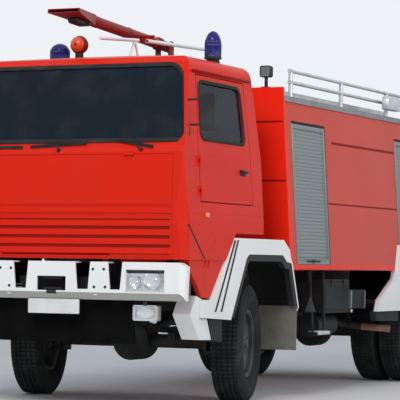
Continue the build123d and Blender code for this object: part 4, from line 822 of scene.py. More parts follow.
@dataclass
class Wheels:
    """Tyres with their tread, nuts, hub caps, valves and lock rings."""

    shop: Workshop
    radius: float = 0.522
    front_centre: Spot = (0.980852, 0.037877)
    front_axle_y: float = 1.595
    rear_axle_y: float = 5.895
    parked_turn: float = math.radians(12.5)
    pair_x: float = 0.911
    pair_gap: float = 0.314
    ribs: tuple[Spot, ...] = ((-0.114, -0.072), (-0.066, -0.028), (-0.022, 0.022), (0.028, 0.066), (0.072, 0.114))
    groove_depth: float = 0.012
    steps: int = 84
    nut_ring: float = 0.160
    nut_count: int = 8
    screw_count: int = 6
    flank: tuple[Spot, ...] = (
        (0.2848, 0.083), (0.302, 0.087), (0.318, 0.108), (0.338, 0.124), (0.356, 0.134), (0.364, 0.1385),
        (0.374, 0.1395), (0.384, 0.1430), (0.412, 0.1436), (0.446, 0.1400), (0.472, 0.1330), (0.476, 0.1300),
        (0.484, 0.1285), (0.497, 0.1230))
    lock_ring: tuple[Spot, ...] = ((0.282, 0.0915), (0.282, 0.1055), (0.292, 0.1065), (0.2995, 0.1040),
                                   (0.297, 0.1000), (0.288, 0.0975))

    def build(self) -> None:
        """Builds the six tyres and the fittings of the four wheels."""
        tyre = self.make_tyre()
        for side, name in SIDES:
            front = copied(tyre, f"front_{name}_tread", self.front_place(side))
            pair = [copied(tyre, "tread", self.rear_place(side, side * gap))
                    for gap in (-self.pair_gap / 2, self.pair_gap / 2)]
            rear = joined(f"rear_{name}_treads", pair)
            for wheel, treads in ((f"front_{name}", front), (f"rear_{name}", rear)):
                self.shop.deliver(treads, Finish.TYRE, f"wheel_{wheel}", 28)
                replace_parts(treads, f"{wheel}_tyre")
        bpy.data.objects.remove(tyre)
        self.make_fittings()

    def front_place(self, side: int) -> Matrix:
        """Place of a front wheel, turned as it is parked."""
        x, lead = self.front_centre
        middle = at(side * x, self.front_axle_y + side * lead, self.radius)
        return Matrix.Translation(middle) @ Matrix.Rotation(self.parked_turn, 4, "Z") @ Matrix.Scale(side, 4, X)

    def rear_place(self, side: int, shift: float = 0.0) -> Matrix:
        """Place of a rear pair, or of a tyre that is shifted outwards from its middle."""
        return Matrix.Translation(at(side * (self.pair_x + shift), self.rear_axle_y, self.radius))

    def make_tyre(self) -> Object:
        """One tyre about the origin, with blocks raised from its ribs."""
        crown = [x for rib in self.ribs for x in rib]
        base = self.radius - self.groove_depth
        profile = [*self.flank, *((base - 0.003 * (x / crown[-1]) ** 2, x) for x in reversed(crown)),
                   *((r, -x) for r, x in reversed(self.flank))]
        tyre = turned("tread", profile, Vector(), X, self.steps, closed=True)
        ribs = [(low + high) / 2 for low, high in self.ribs]
        pressed(tyre, lambda place, facing: place.yz.length > base - 0.006
                and any(abs(place.x - x) < 0.004 for x in ribs), (0.0035, self.groove_depth - 0.001), each=True)
        return pressed(tyre, lambda place, facing: abs(abs(place.x) - 0.1265) < 0.004
                       and place.yz.length > 0.484, (0.006, 0.004), each=True)

    def make_nuts(self, face_x: float) -> Object:
        """A ring of wheel nuts with their studs, for a disc face at the given distance from the middle."""
        foot = Vector((face_x - 0.002, 0, self.nut_ring))
        nut = rod("nut", foot, foot + X * 0.021, 0.0165, sides=6)
        pressed(nut, toward(X), (0.005,), X * 0.009, (0.002, 0.001))
        washer = rod("washer", foot, foot + X * 0.006, 0.022, 0.020, 20)
        turns = [Matrix.Rotation(math.tau * (n + 0.5) / self.nut_count, 4, "X") for n in range(self.nut_count)]
        return joined("wheel_nuts", repeated(joined("nut", [nut, washer]), turns))

    def make_hub_cap(self, face_x: float, radius: float) -> Object:
        """A domed cap on the hub with a ring of small screws."""
        shares = ((0, -0.003), (1, -0.003), (1, 0.006), (0.94, 0.010), (0.62, 0.016), (0.55, 0.030), (0.45, 0.036),
                  (0, 0.038))
        cap = turned("hub_cap", [(radius * share, face_x + x) for share, x in shares], Vector(), X)
        foot = Vector((face_x + 0.004, 0, radius * 0.8))
        screw = rod("screw", foot, foot + X * 0.012, 0.006, 0.0055, 6)
        turns = [Matrix.Rotation(math.tau * n / self.screw_count, 4, "X") for n in range(self.screw_count)]
        return joined("hub_cap", [cap, *repeated(screw, turns)])

    @staticmethod
    def make_valve(face_x: float) -> Object:
        """The bent valve stem that comes out of a hand hole."""
        stem = rod("valve", Vector((face_x, 0, 0.208)), Vector((face_x + 0.028, 0, 0.216)), 0.005, sides=10)
        cap = rod("valve_cap", Vector((face_x + 0.026, 0, 0.2155)), Vector((face_x + 0.046, 0, 0.221)),
                  0.007, 0.006, 10)
        return joined("valve", [stem, cap])

    def make_fittings(self) -> None:
        """Nuts, hub caps, valves and lock rings, modelled once and copied to each wheel."""
        ring = turned("lock_ring", self.lock_ring, Vector(), X, 64, closed=True)
        fronts = {"nuts": (self.make_nuts(0.034), Finish.NUT), "cap": (self.make_hub_cap(0.070, 0.078), Finish.RIM),
                  "valve": (self.make_valve(0.030), Finish.NUT), "ring": (ring, Finish.RIM)}
        rears = {"nuts": (self.make_nuts(0.014), Finish.NUT), "cap": (self.make_hub_cap(0.130, 0.070), Finish.RIM)}
        for side, name in SIDES:
            pair = self.rear_place(side) @ Matrix.Scale(side, 4, X)
            for end, place, table in (("front", self.front_place(side), fronts), ("rear", pair, rears)):
                for kind, (piece, finish) in table.items():
                    copy = copied(piece, f"{end}_{name}_{kind}", place)
                    self.shop.deliver(copy, finish, f"wheel_{end}_{name}", 40)
        for piece, _ in (*fronts.values(), *rears.values()):
            bpy.data.objects.remove(piece)


@dataclass
class CabTrim:
    """Window rubbers, wipers, drip rails, handles, markers, strips, ribs and mirror glass."""

    shop: Workshop
    screen_z: Spot = (2.240, 2.905)
    screen_half: Spot = (1.168, 1.040)
    screen_radius: Spot = (0.077, 0.147)
    screen_cuts: tuple[float, ...] = (0.90, 0.96, 1.02, 1.055, 1.08, 1.10, 1.12, 1.14, 1.155, 1.165)
    rubber: float = 0.034
    window: tuple[Spot, ...] = ((0.408, 2.254), (1.350, 2.254), (1.350, 2.780), (0.474, 2.780))
    rear_half: float = 0.640
    rear_z: Spot = (2.270, 2.760)
    rear_slope: float = 0.035 / 0.882
    wipers: tuple[tuple[float, float, float, float, float], ...] = (
        (-0.86, -0.34, 2.200, 2.196, -0.60), (-0.265, 0.267, 2.200, 2.228, 0.02), (0.561, 0.908, 2.249, 2.190, 0.80))
    """Each blade's two ends across, their heights, and its pivot's place across."""
    pivot_z: float = 2.165
    drip_z: float = 2.838
    ribs: tuple[tuple[Point, Point], ...] = (
        ((1.2255, 0.638, 1.427), (1.2115, 0.525, 1.189)), ((1.2255, 0.560, 1.427), (1.2115, 0.447, 1.189)))
    doors: tuple[str, str] = ("left_door", "right_door")

    def build(self) -> None:
        """Builds all the trim of the cab."""
        self.make_rubbers()
        self.make_screen_rubber()
        self.make_wipers()
        self.make_drip_rails()
        self.make_handles()
        self.make_side_trim()
        self.make_dash_fittings()

    def make_rubbers(self) -> None:
        """Rubbers round the door windows and the rear window."""
        corners = [at(cab_side_x(z) - 0.004, y, z) for y, z in self.window]
        rubber = frame_of("door_window_rubber", corners, 0.088, 0.030, 0.011)
        self.shop.both(rubber, Finish.RUBBER, self.doors)
        (low, high), half = self.rear_z, self.rear_half
        places = [(half, low), (-half, low), (-half, high), (half, high)]
        corners = [at(x, 1.651 - (z - 2.150) * self.rear_slope, z) for x, z in places]
        rear = frame_of("rear_window_rubber", corners, 0.080, 0.032, 0.011)
        self.shop.deliver(rear, Finish.RUBBER)

    def make_screen_rubber(self) -> None:
        """The windscreen's rubber, which bends round the cab's corners."""
        low, high = self.screen_z
        out = 0.012
        half_low, half_high = (half + out for half in self.screen_half)
        places = [(-half_low, low - out), (half_low, low - out), (half_high, high + out), (-half_high, high + out)]
        ring = loop("screen_rubber", [Vector((x, -1.0, z)) for x, z in places])
        with edit(ring, "VERT"):
            for level, radius in zip(self.screen_z, self.screen_radius):
                pick(ring, lambda place, facing: abs(place.z - level) < 0.013 and abs(place.x) > 0.98)
                bevel(radius, 8, corners=True)
            hollow(self.rubber)
            for cut in self.screen_cuts:
                for side in (-1, 1):
                    bpy.ops.mesh.select_all(action="SELECT")
                    bpy.ops.mesh.bisect(plane_co=(side * cut, 0, 0), plane_no=X)
        for vertex in ring.data.vertices:
            vertex.co.y = cab_skin_y(abs(vertex.co.x), vertex.co.z) - MID_LENGTH
        ring.data.update()
        self.shop.deliver(rounded(thick(ring, 0.014, 0.3), 0.003), Finish.RUBBER)

    def make_wipers(self) -> None:
        """Wiper blades that lie along the foot of the windscreen, each on its arm."""
        z = self.pivot_z
        skin = cab_front_y(z)
        for number, (x0, x1, z0, z1, pivot) in enumerate(self.wipers):
            start, end = at(x0, cab_front_y(z0) - 0.020, z0), at(x1, cab_front_y(z1) - 0.020, z1)
            blade = box("blade", Vector((-0.004, -0.013, -0.5)), Vector((0.004, 0.013, 0.5)))
            softened(blade, along(Z, lambda place: place.y < 0), 0.003, 2)
            turn = (end - start).to_track_quat("Z", "Y").to_matrix().to_4x4()
            stretch = Matrix.Diagonal((1, 1, (end - start).length, 1))
            spine = repeated(blade, [Matrix.Translation((start + end) / 2) @ turn @ stretch])
            boss = rod("boss", (pivot, skin + 0.004, z), (pivot, skin - 0.030, z + 0.004), 0.017, 0.013, 20)
            grip = start.lerp(end, 0.5) + Vector((0, -0.006, 0))
            arm = rod("arm", at(pivot, skin - 0.024, z + 0.003), grip, 0.0075, 0.005, 10)
            self.shop.deliver(joined(f"wiper_{number}", [*spine, boss, arm]), Finish.RUBBER)

    def make_drip_rails(self) -> None:
        """Gutters over the doors, in the shaded red as painted shade along them."""
        x, z = cab_side_x(self.drip_z), self.drip_z
        rail = box("drip_rail", (x - 0.004, 0.389, z), (x + 0.018, 1.574, z + 0.020))
        pressed(rail, toward(Z), (0.005,), Z * -0.012)
        self.shop.both(rounded(rail, 0.002), Finish.DEEP_RED)

    def make_handles(self) -> None:
        """Door handles, each with a plate, a grip on two posts and a lock."""
        x = cab_side_x(2.02)
        plate = box("handle", (x - 0.004, 1.180, 1.992), (x + 0.006, 1.300, 2.048), 0.004)
        grip = box("grip", (x + 0.010, 1.190, 2.016), (x + 0.034, 1.292, 2.036))
        pressed(grip, toward(Y), Y * 0.002)
        pressed(grip, lambda place, facing: facing.x < -0.9 and place.y + MID_LENGTH > 1.2918, X * -0.014)
        posts = [rod("post", (x, y, 2.026), (x + 0.024, y, 2.026), 0.008, sides=14) for y in (1.200, 1.284)]
        lock = rod("lock", (x, 1.240, 2.004), (x + 0.009, 1.240, 2.004), 0.009, 0.008, 16)
        handle = joined("door_handle", [plate, rounded(grip, 0.004), *posts, lock])
        self.shop.both(handle, Finish.TRIM, self.doors)

    def make_side_trim(self) -> None:
        """Markers, the strips and ribs low on the cab's sides, and the glass on the back of each mirror."""
        marker = box("side_marker", (1.218, 0.424, 1.612), (1.242, 0.480, 1.652), 0.006, 3)
        self.shop.both(marker, Finish.AMBER)
        places = ((0.088, 1.548), (0.412, 1.262), (0.440, 1.262), (0.118, 1.548))
        strip = plate_of("side_strip", [at(1.2265, y, z) for y, z in places], 0.006, edge=0.0015)
        self.shop.both(strip, Finish.RUBBER)
        ribs = [rod("rib", start, end, 0.006, sides=10) for start, end in self.ribs]
        self.shop.both(joined("skirt_ribs", ribs), Finish.RED)
        glass = plate_of("mirror_glass", flat(0.2625, 1.380, 1.274, 2.345, 2.625), 0.003, 0.022, 0.001)
        self.shop.both(glass, Finish.MIRROR)

    def make_dash_fittings(self) -> None:
        """What shows through the windscreen: dial pods and a radio."""
        pod = box("dial_pod", (0.34, 0.300, 2.080), (0.80, 0.420, 2.150))
        pressed(pod, toward(Y), (0.012,), (0.004, -0.018))
        radio = box("radio", (-0.30, 0.330, 1.985), (-0.02, 0.425, 2.060))
        pressed(radio, toward(Y), (0.008, -0.004))
        pieces = [rounded(pod, 0.012, 3), rounded(radio, 0.004)]
        self.shop.deliver(joined("dash_fittings", pieces), Finish.CABIN)


@dataclass
class Nose:
    """Headlights, fog lamps, the blank plate and what closes the grille."""

    shop: Workshop
    headlight: Quad = (0.705, 1.060, 0.985, 1.168)
    reflector: Triple = (0.929, 1.082, 0.078)
    side_reflector: Spot = (0.775, 1.062)
    bowl_shares: tuple[Spot, ...] = ((1, 0.010), (0.97, 0.020), (0.82, 0.036), (0.55, 0.048), (0.22, 0.053),
                                     (0.20, 0.050), (0.17, 0.028), (0, 0.026))
    small_bowl: tuple[Spot, ...] = ((0.052, 0.014), (0.046, 0.030), (0.028, 0.044), (0.010, 0.048), (0.008, 0.032),
                                    (0.0, 0.030))
    fog: Quad = (0.740, 0.962, 0.745, 0.884)
    fog_dish: tuple[Spot, ...] = ((0.046, 0.080), (0.040, 0.092), (0.018, 0.100), (0.0, 0.101))
    plate: Quad = (-0.239, 0.253, 0.790, 0.916)
    grille_z: Spot = (1.285, 1.590)
    slat_pitch: float = 0.07625
    slat_height: float = 0.06225
    channel_depth: float = 0.009
    flap_half: float = 1.1085
    flap_z: Spot = (1.2675, 2.1285)
    flap_bend_z: float = 1.640

    def build(self) -> None:
        """Builds the pieces of the front."""
        self.make_lamps()
        self.make_plate()
        self.make_grille_back()
        self.make_flap_seal()

    def make_lamps(self) -> None:
        """Headlights and fog lamps in place of the plain solids."""
        head, fog = self.make_headlight(), self.make_fog_lamp()
        for name, finish in (("lamp_bodies", Finish.TRIM), ("lamp_silver", Finish.SILVER),
                             ("fog_shell", Finish.ALLOY), ("lamp_lenses", Finish.LENS)):
            made = self.shop.both(joined(name, head.get(name, []) + fog[name]), finish)
            if name == "lamp_bodies":
                for piece in made:
                    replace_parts(piece, "front_lamps")

    def make_headlight(self) -> dict[str, list[Object]]:
        """One headlight, by the names of the pieces that its parts go into."""
        x0, x1, z0, z1 = self.headlight
        gap = 0.0006
        bowl = box("bowl", (x0 + gap, 0.010, z0 + gap), (x1 - gap, 0.095, z1 - gap))
        softened(bowl, along(Y), 0.015)
        pressed(bowl, toward(-Y), (0.007,), Y * 0.046)
        x, z, radius = self.reflector
        centre = at(x, 0, z)
        reflector = turned("reflector", [(radius * share, y) for share, y in self.bowl_shares], centre, Y)
        rim = [(radius + 0.006, 0.007), (radius, 0.007), (radius - 0.002, 0.014), (radius + 0.006, 0.014)]
        rim_piece = turned("reflector_rim", rim, centre, Y, closed=True)
        side_x, side_z = self.side_reflector
        small = turned("side_reflector", self.small_bowl, at(side_x, 0, side_z), Y, 32)
        cover = box("lens", (x0 + 0.004, 0.0015, z0 + 0.004), (x1 - 0.004, 0.0065, z1 - 0.030))
        softened(cover, along(Y), 0.014)
        brow = box("brow", (x0 + 0.006, 0.003, z1 - 0.030), (x1 - 0.006, 0.030, z1 - 0.003), 0.004)
        return {"lamp_bodies": [brow], "lamp_silver": [bowl, reflector, rim_piece, small],
                "lamp_lenses": [rounded(cover, 0.0012)]}

    def make_fog_lamp(self) -> dict[str, list[Object]]:
        """One fog lamp, by the names of the pieces that its parts go into."""
        x0, x1, z0, z1 = self.fog
        shell = box("fog", (x0, 0.068, z0), (x1, 0.148, z1 - 0.010))
        softened(shell, along(Y), 0.016)
        pressed(shell, toward(-Y), (0.007,), Y * 0.006, (0.012,), Y * 0.028)
        centre = at((x0 + x1) / 2, 0, (z0 + z1) / 2 - 0.005)
        dish = turned("fog_dish", self.fog_dish, centre, Y, 32)
        dish.data.transform(Matrix.Translation(centre) @ Matrix.Diagonal((1.7, 1, 1, 1)) @ Matrix.Translation(-centre))
        lens = box("fog_lens", (x0 + 0.008, 0.0700, z0 + 0.008), (x1 - 0.008, 0.0735, z1 - 0.018))
        softened(lens, along(Y), 0.010)
        stem = box("fog_stem", (0.837, 0.066, z1 - 0.014), (0.873, 0.075, 0.9125), 0.002)
        return {"lamp_bodies": [stem], "lamp_silver": [dish], "fog_shell": [rounded(shell, 0.002)],
                "lamp_lenses": [lens]}

    def make_plate(self) -> None:
        """A blank plate on its holder under the bumper."""
        x0, x1, z0, z1 = self.plate
        holder = plate_of("plate_holder", flat(0.036, x0 - 0.004, x1 + 0.004, z0 - 0.004, z1), 0.010, 0.010, 0.002)
        self.shop.deliver(blank_plate("plate", flat(0.034, x0, x1, z0, z1 - 0.003), 0.0015), Finish.PLATE)
        tabs = [box("tab", (x - 0.02, 0.040, 0.900), (x + 0.02, 0.058, 0.918)) for x in (-0.15, 0.16)]
        self.shop.deliver(joined("plate_holder", [holder, *tabs]), Finish.TRIM)

    def make_grille_back(self) -> None:
        """The shaded floor of the channels between the slats, and a closed panel behind the opening."""
        low, high = self.grille_z
        back = [at(-0.545, 0.095, low - 0.010), at(0.545, 0.095, low - 0.010),
                at(0.545, 0.080, high + 0.012), at(-0.545, 0.080, high + 0.012)]
        pieces = [plate_of("grille_back", back, 0.003)]
        for n in range(4):
            z0 = low + 0.004 + self.slat_pitch * n + self.slat_height
            z1 = min(z0 + 0.023, high - 0.001)
            corners = [at(x, cab_front_y(z) + self.channel_depth, z) for x, z in
                       ((-1.084, z0), (1.084, z0), (1.084, z1), (-1.084, z1))]
            pieces.append(plate_of("channel", corners, 0.002))
        self.shop.deliver(joined("grille_channels", pieces), Finish.DEEP_RED, "front_flap")

    def make_flap_seal(self) -> None:
        """The painted seal that fills the gap round the flap."""
        ring = loop("flap_seal", flat(0, -self.flap_half, self.flap_half, *self.flap_z))
        with edit(ring):
            hollow(0.0072)
            bpy.ops.mesh.select_all(action="SELECT")
            bpy.ops.mesh.bisect(plane_co=(0, 0, self.flap_bend_z), plane_no=Z)
        for vertex in ring.data.vertices:
            vertex.co.y = cab_skin_y(abs(vertex.co.x), vertex.co.z) + 0.0025 - MID_LENGTH
        ring.data.update()
        self.shop.deliver(thick(ring, 0.012), Finish.RED)


@dataclass
class Flanks:
    """Mudguard strips, shutters, sills, grooves and the details between the axles."""

    shop: Workshop
    guard_x: float = 1.243
    shutters: tuple[tuple[str, float, float, float], ...] = (("front", 2.440, 3.250, 1.228),
                                                             ("rear", 5.245, 6.880, 1.470))
    """Each side shutter's name, front edge, rear edge and foot."""
    shutter_top: float = 2.540
    slat_pitch: float = 0.034
    slat_gap: float = 0.0002
    tail_y: float = 7.060
    tail_half: float = 0.560
    tail_z: Spot = (1.260, 2.480)
    stripes: tuple[Quad, ...] = ((1.000, 1.430, 0.607, 0.819), (1.061, 1.434, 0.728, 0.818))
    """Each guard strip's lower place and height, and its upper ones."""
    grooves: tuple[Triple, ...] = ((3.447, 2.400, 0.025), (3.300, 1.812, 0.016))
    """Each side groove's front end, lower edge and height."""
    groove_end: float = 5.215
    box_x: float = 1.120
    pipe_radius: float = 0.034
    pipe: tuple[Point, ...] = ((0.500, 4.800, 0.650), (0.500, 4.930, 0.646), (0.530, 5.020, 0.636),
                               (0.600, 5.090, 0.622), (0.700, 5.135, 0.606), (0.860, 5.165, 0.590))

    def build(self) -> None:
        """Builds the pieces of both sides."""
        self.make_stripes()
        for shutter in self.shutters:
            self.make_shutter(*shutter)
        self.make_tail_shutter()
        self.make_sills()
        self.make_seams()
        self.make_battery_box()
        self.make_tank_fittings()
        self.make_steps()
        self.make_exhaust()

    def make_stripes(self) -> None:
        """Dark joint strips that run down the white front mudguards."""
        x = self.guard_x + 0.0012
        strips = [plate_of("strip", [at(x, y1 - 0.010, z1), at(x, y1 + 0.024, z1), at(x, y0 + 0.024, z0),
                                     at(x, y0 - 0.010, z0)], 0.003) for y0, z0, y1, z1 in self.stripes]
        self.shop.both(joined("guard_strips", strips), Finish.RUBBER)

    def slat_heights(self, low: float, top: float) -> list[float]:
        """How high the slats of a shutter stand, from its foot and its top."""
        count = int((top - 0.05 - low - 0.07) / self.slat_pitch)
        return [low + 0.066 + n * self.slat_pitch for n in range(count)]

    def make_shutter(self, name: str, front: float, rear: float, low: float) -> None:
        """Slats, painted shadow strips, side rails, top box, lift bar and handle of one shutter, on both sides.

        Args:
            name: Which shutter it is.
            front: Its front edge.
            rear: Its rear edge.
            low: Its lower edge.
        """
        top, gap = self.shutter_top, self.slat_gap
        slat = box("slat", (-0.004, front + 0.022, gap), (0.0060, rear - 0.022, self.slat_pitch - gap))
        softened(slat, along(Y, lambda place: place.x > 0.003), 0.0014, 2)
        slats = repeated(slat, [Matrix.Translation((body_side_x(z) - 0.013, 0, z))
                                for z in self.slat_heights(low, top)])
        self.shop.both(joined(f"{name}_shutter_slats", slats), Finish.SHUTTER, smooth=50)
        self.make_shutter_shadow_strips(name, front, rear, low)
        pieces = []
        for y0, y1 in ((front + 0.001, front + 0.026), (rear - 0.026, rear - 0.001)):
            rail = box("rail", (-0.012, y0, 0), (0.0075, y1, 1))
            for vertex in rail.data.vertices:
                z = low + 0.001 if vertex.co.z < 0.5 else top - 0.001
                vertex.co = Vector((body_side_x(z) + vertex.co.x, vertex.co.y, z))
            pieces.append(rounded(rail, 0.003))
        x = body_side_x(top)
        pieces.append(box("head", (x - 0.010, front + 0.024, top - 0.046), (x + 0.004, rear - 0.024, top - 0.002),
                          0.004))
        x = body_side_x(low)
        bar = box("lift_bar", (x - 0.014, front + 0.026, low + 0.004), (x + 0.002, rear - 0.026, low + 0.062))
        pieces.append(rounded(pressed(bar, toward(X), (0.010,), (0.003, -0.005)), 0.002))
        self.shop.both(joined(f"{name}_shutter_frame", pieces), Finish.SHUTTER)
        y = (front + rear) / 2
        handle = rod("shutter_handle", (x + 0.002, y - 0.16, low + 0.034), (x + 0.002, y + 0.16, low + 0.034),
                     0.007, sides=14)
        lock = box("lock", (x - 0.004, y - 0.030, low + 0.020), (x + 0.007, y + 0.030, low + 0.050), 0.004)
        self.shop.both(joined(f"{name}_shutter_handle", [handle, lock]), Finish.TRIM)

    def make_shutter_shadow_strips(self, name: str, front: float, rear: float, low: float) -> None:
        """Dark strips of painted shadow along the head and the rear edge of one shutter, on both sides."""
        top, high = self.shutter_top + 0.001, self.shutter_top + 0.024
        # Painted shadow: dark rubber strips where the shadow lines over the head and along the rear edge fall.
        strips = [self.side_plate("seal", *spans, 0.004)
                  for spans in ((front, rear + 0.026, top, high), (rear + 0.001, rear + 0.026, low, top))]
        self.shop.both(joined(f"{name}_shutter_shadow_strips", strips), Finish.RUBBER)

    @staticmethod
    def side_plate(name: str, y0: float, y1: float, z0: float, z1: float, thickness: float) -> Object:
        """A thin plate on the body's left side, between two places along it and two heights."""
        places = ((y0, z0), (y1, z0), (y1, z1), (y0, z1))
        return plate_of(name, [at(body_side_x(z) + 0.002, y, z) for y, z in places], thickness)

    def make_tail_shutter(self) -> None:
        """Slats, rails and lift bar of the shutter in the tail."""
        y, half, gap = self.tail_y, self.tail_half, self.slat_gap
        low, top = self.tail_z
        slat = box("slat", (-half + 0.024, y - 0.014, gap), (half - 0.024, y - 0.0045, self.slat_pitch - gap))
        softened(slat, along(X, lambda place: place.y > y - MID_LENGTH - 0.008), 0.0022, 2)
        slats = repeated(slat, [Matrix.Translation((0, 0, z)) for z in self.slat_heights(low, top)])
        self.shop.deliver(joined("tail_shutter_slats", slats), Finish.SHUTTER, smooth=50)
        spans = ((-half, -half + 0.026, low), (half - 0.026, half, low), (-half, half, top - 0.046))
        pieces = [box("rail", (x0, y - 0.012, z0), (x1, y + 0.004, top), 0.003) for x0, x1, z0 in spans]
        bar = box("bar", (-half + 0.026, y - 0.014, low + 0.002), (half - 0.026, y + 0.003, low + 0.062))
        pieces.append(pressed(bar, toward(Y), (0.010,), (0.003, -0.005)))
        self.shop.deliver(joined("tail_shutter_frame", pieces), Finish.ALLOY)

    def make_sills(self) -> None:
        """Edge strips along the foot of the body, and the shaded grooves beside the shutters."""
        x = body_side_x(1.19)
        sill = box("sill", (x - 0.010, 2.50, 1.181), (x + 0.007, 4.86, 1.199), 0.005, 3)
        self.shop.both(sill, Finish.BODY_RED)
        grooves = [self.side_plate("groove", start, self.groove_end, low, low + height, 0.003)
                   for start, low, height in self.grooves]
        self.shop.both(joined("side_grooves", grooves), Finish.DEEP_RED)

    def make_seams(self) -> None:
        """The two shaded seams across the body's front."""
        seams = []
        for z in (2.545, 2.000):
            half = body_side_x(z) - 0.014
            seams.append(plate_of("seam", flat(2.2795, -half, half, z - 0.009, z + 0.009), 0.003))
        self.shop.deliver(joined("front_seams", seams), Finish.DEEP_RED)

    def make_battery_box(self) -> None:
        """Lid, front and latches of the battery box, and the bands of the box behind it."""
        x = self.box_x
        lid = box("battery_lid", (0.900, 3.400, 1.070), (x + 0.004, 4.045, 1.092), 0.005)
        door = box("battery_front", (x - 0.002, 3.410, 0.790), (x + 0.006, 4.035, 1.060))
        rounded(pressed(door, toward(X), (0.030,), (0.006, -0.004)), 0.003)
        latches = [box("latch", (x + 0.003, y - 0.014, 1.020), (x + 0.014, y + 0.014, 1.086), 0.003)
                   for y in (3.560, 3.890)]
        self.shop.deliver(joined("battery_box_trim", [lid, door, *latches]), Finish.TANK)
        ends = [box("cap", (0.896, y0, 0.797), (1.124, y1, 0.983), 0.010, 3)
                for y0, y1 in ((4.126, 4.146), (4.500, 4.522))]
        self.shop.deliver(joined("box_bands", ends), Finish.SHUTTER)

    def make_tank_fittings(self) -> None:
        """Bands and filler cap of the fuel tank."""
        bands = [softened(box("band", (-1.1225, y - 0.020, 0.698), (-0.6405, y + 0.020, 1.1325)),
                          along(Y), 0.061, 5) for y in (3.560, 4.240)]
        cap = rod("cap", (-0.960, 3.460, 1.128), (-0.990, 3.460, 1.168), 0.052, 0.048, 28)
        pressed(cap, toward(Z, 0.7), (0.012,), Vector((-0.006, 0, 0.010)))
        self.shop.deliver(joined("tank_fittings", [*bands, cap]), Finish.BLACK)

    def make_steps(self) -> None:
        """Pale treads on the stirrups with raised studs, and what the stirrups hang from."""
        pieces = [box("tread", (1.077, 3.074, 0.5885), (1.183, 3.386, 0.5935), 0.002)]
        stud = rod("stud", (1.092, 3.092, 0.593), (1.092, 3.092, 0.597), 0.008, 0.005, 8)
        pieces += repeated(stud, [Matrix.Translation((0.0253 * row, 0.0306 * place, 0))
                                  for row in range(4) for place in range(10)])
        pieces.append(box("edge", (1.1845, 3.072, 0.562), (1.1885, 3.388, 0.592), 0.0015))
        self.shop.both(joined("stirrup_treads", pieces), Finish.ALLOY)
        corners = [at(1.147, y, z) for y, z in ((2.836, 0.783), (3.111, 0.779), (2.979, 0.942))]
        plate = plate_of("stirrup_bracket", corners, 0.006, 0.012, 0.002)
        bar = rod("stirrup_bar", (1.142, 2.979, 0.92), (1.142, 2.979, 1.182), 0.010, sides=14)
        self.shop.both(plate, Finish.TANK)
        self.shop.both(bar, Finish.BLACK)

    def make_exhaust(self) -> None:
        """The tail pipe in front of the left rear wheels, rusty at its end, with the hanger that holds it."""
        turns = [math.tau * n / 18 for n in range(18)]
        section = [Vector((math.cos(turn), 0, math.sin(turn))) * self.pipe_radius for turn in turns]
        pipe = loop("exhaust_pipe", [at(*self.pipe[0]) + point for point in section])
        heading = 0.0
        with edit(pipe, taken=True):
            for start, end in zip(self.pipe, self.pipe[1:]):
                way = at(*end) - at(*start)
                extrude(way)
                course = math.atan2(way.x, way.y)
                bpy.ops.transform.rotate(value=course - heading, orient_axis="Z", center_override=tuple(at(*end)))
                heading = course
        self.shop.deliver(pipe, Finish.AXLE, smooth=50)
        tip = rod("tail_pipe", (0.842, 5.1625, 0.5912), (1.140, 5.200, 0.572), 0.036)
        pressed(tip, toward(X), (0.004,), Vector((-0.06, -0.006, 0.004)))
        self.shop.deliver(tip, Finish.RUST, smooth=50)
        hanger = box("pipe_hanger", (0.690, 5.118, 0.640), (0.720, 5.148, 0.862))
        clamp = rod("clamp", (0.690, 5.132, 0.608), (0.722, 5.140, 0.603), 0.040)
        arm = box("arm", (0.425, 5.116, 0.838), (0.725, 5.150, 0.866), 0.004)
        self.shop.deliver(joined("pipe_hanger", [hanger, clamp, arm]), Finish.BLACK)


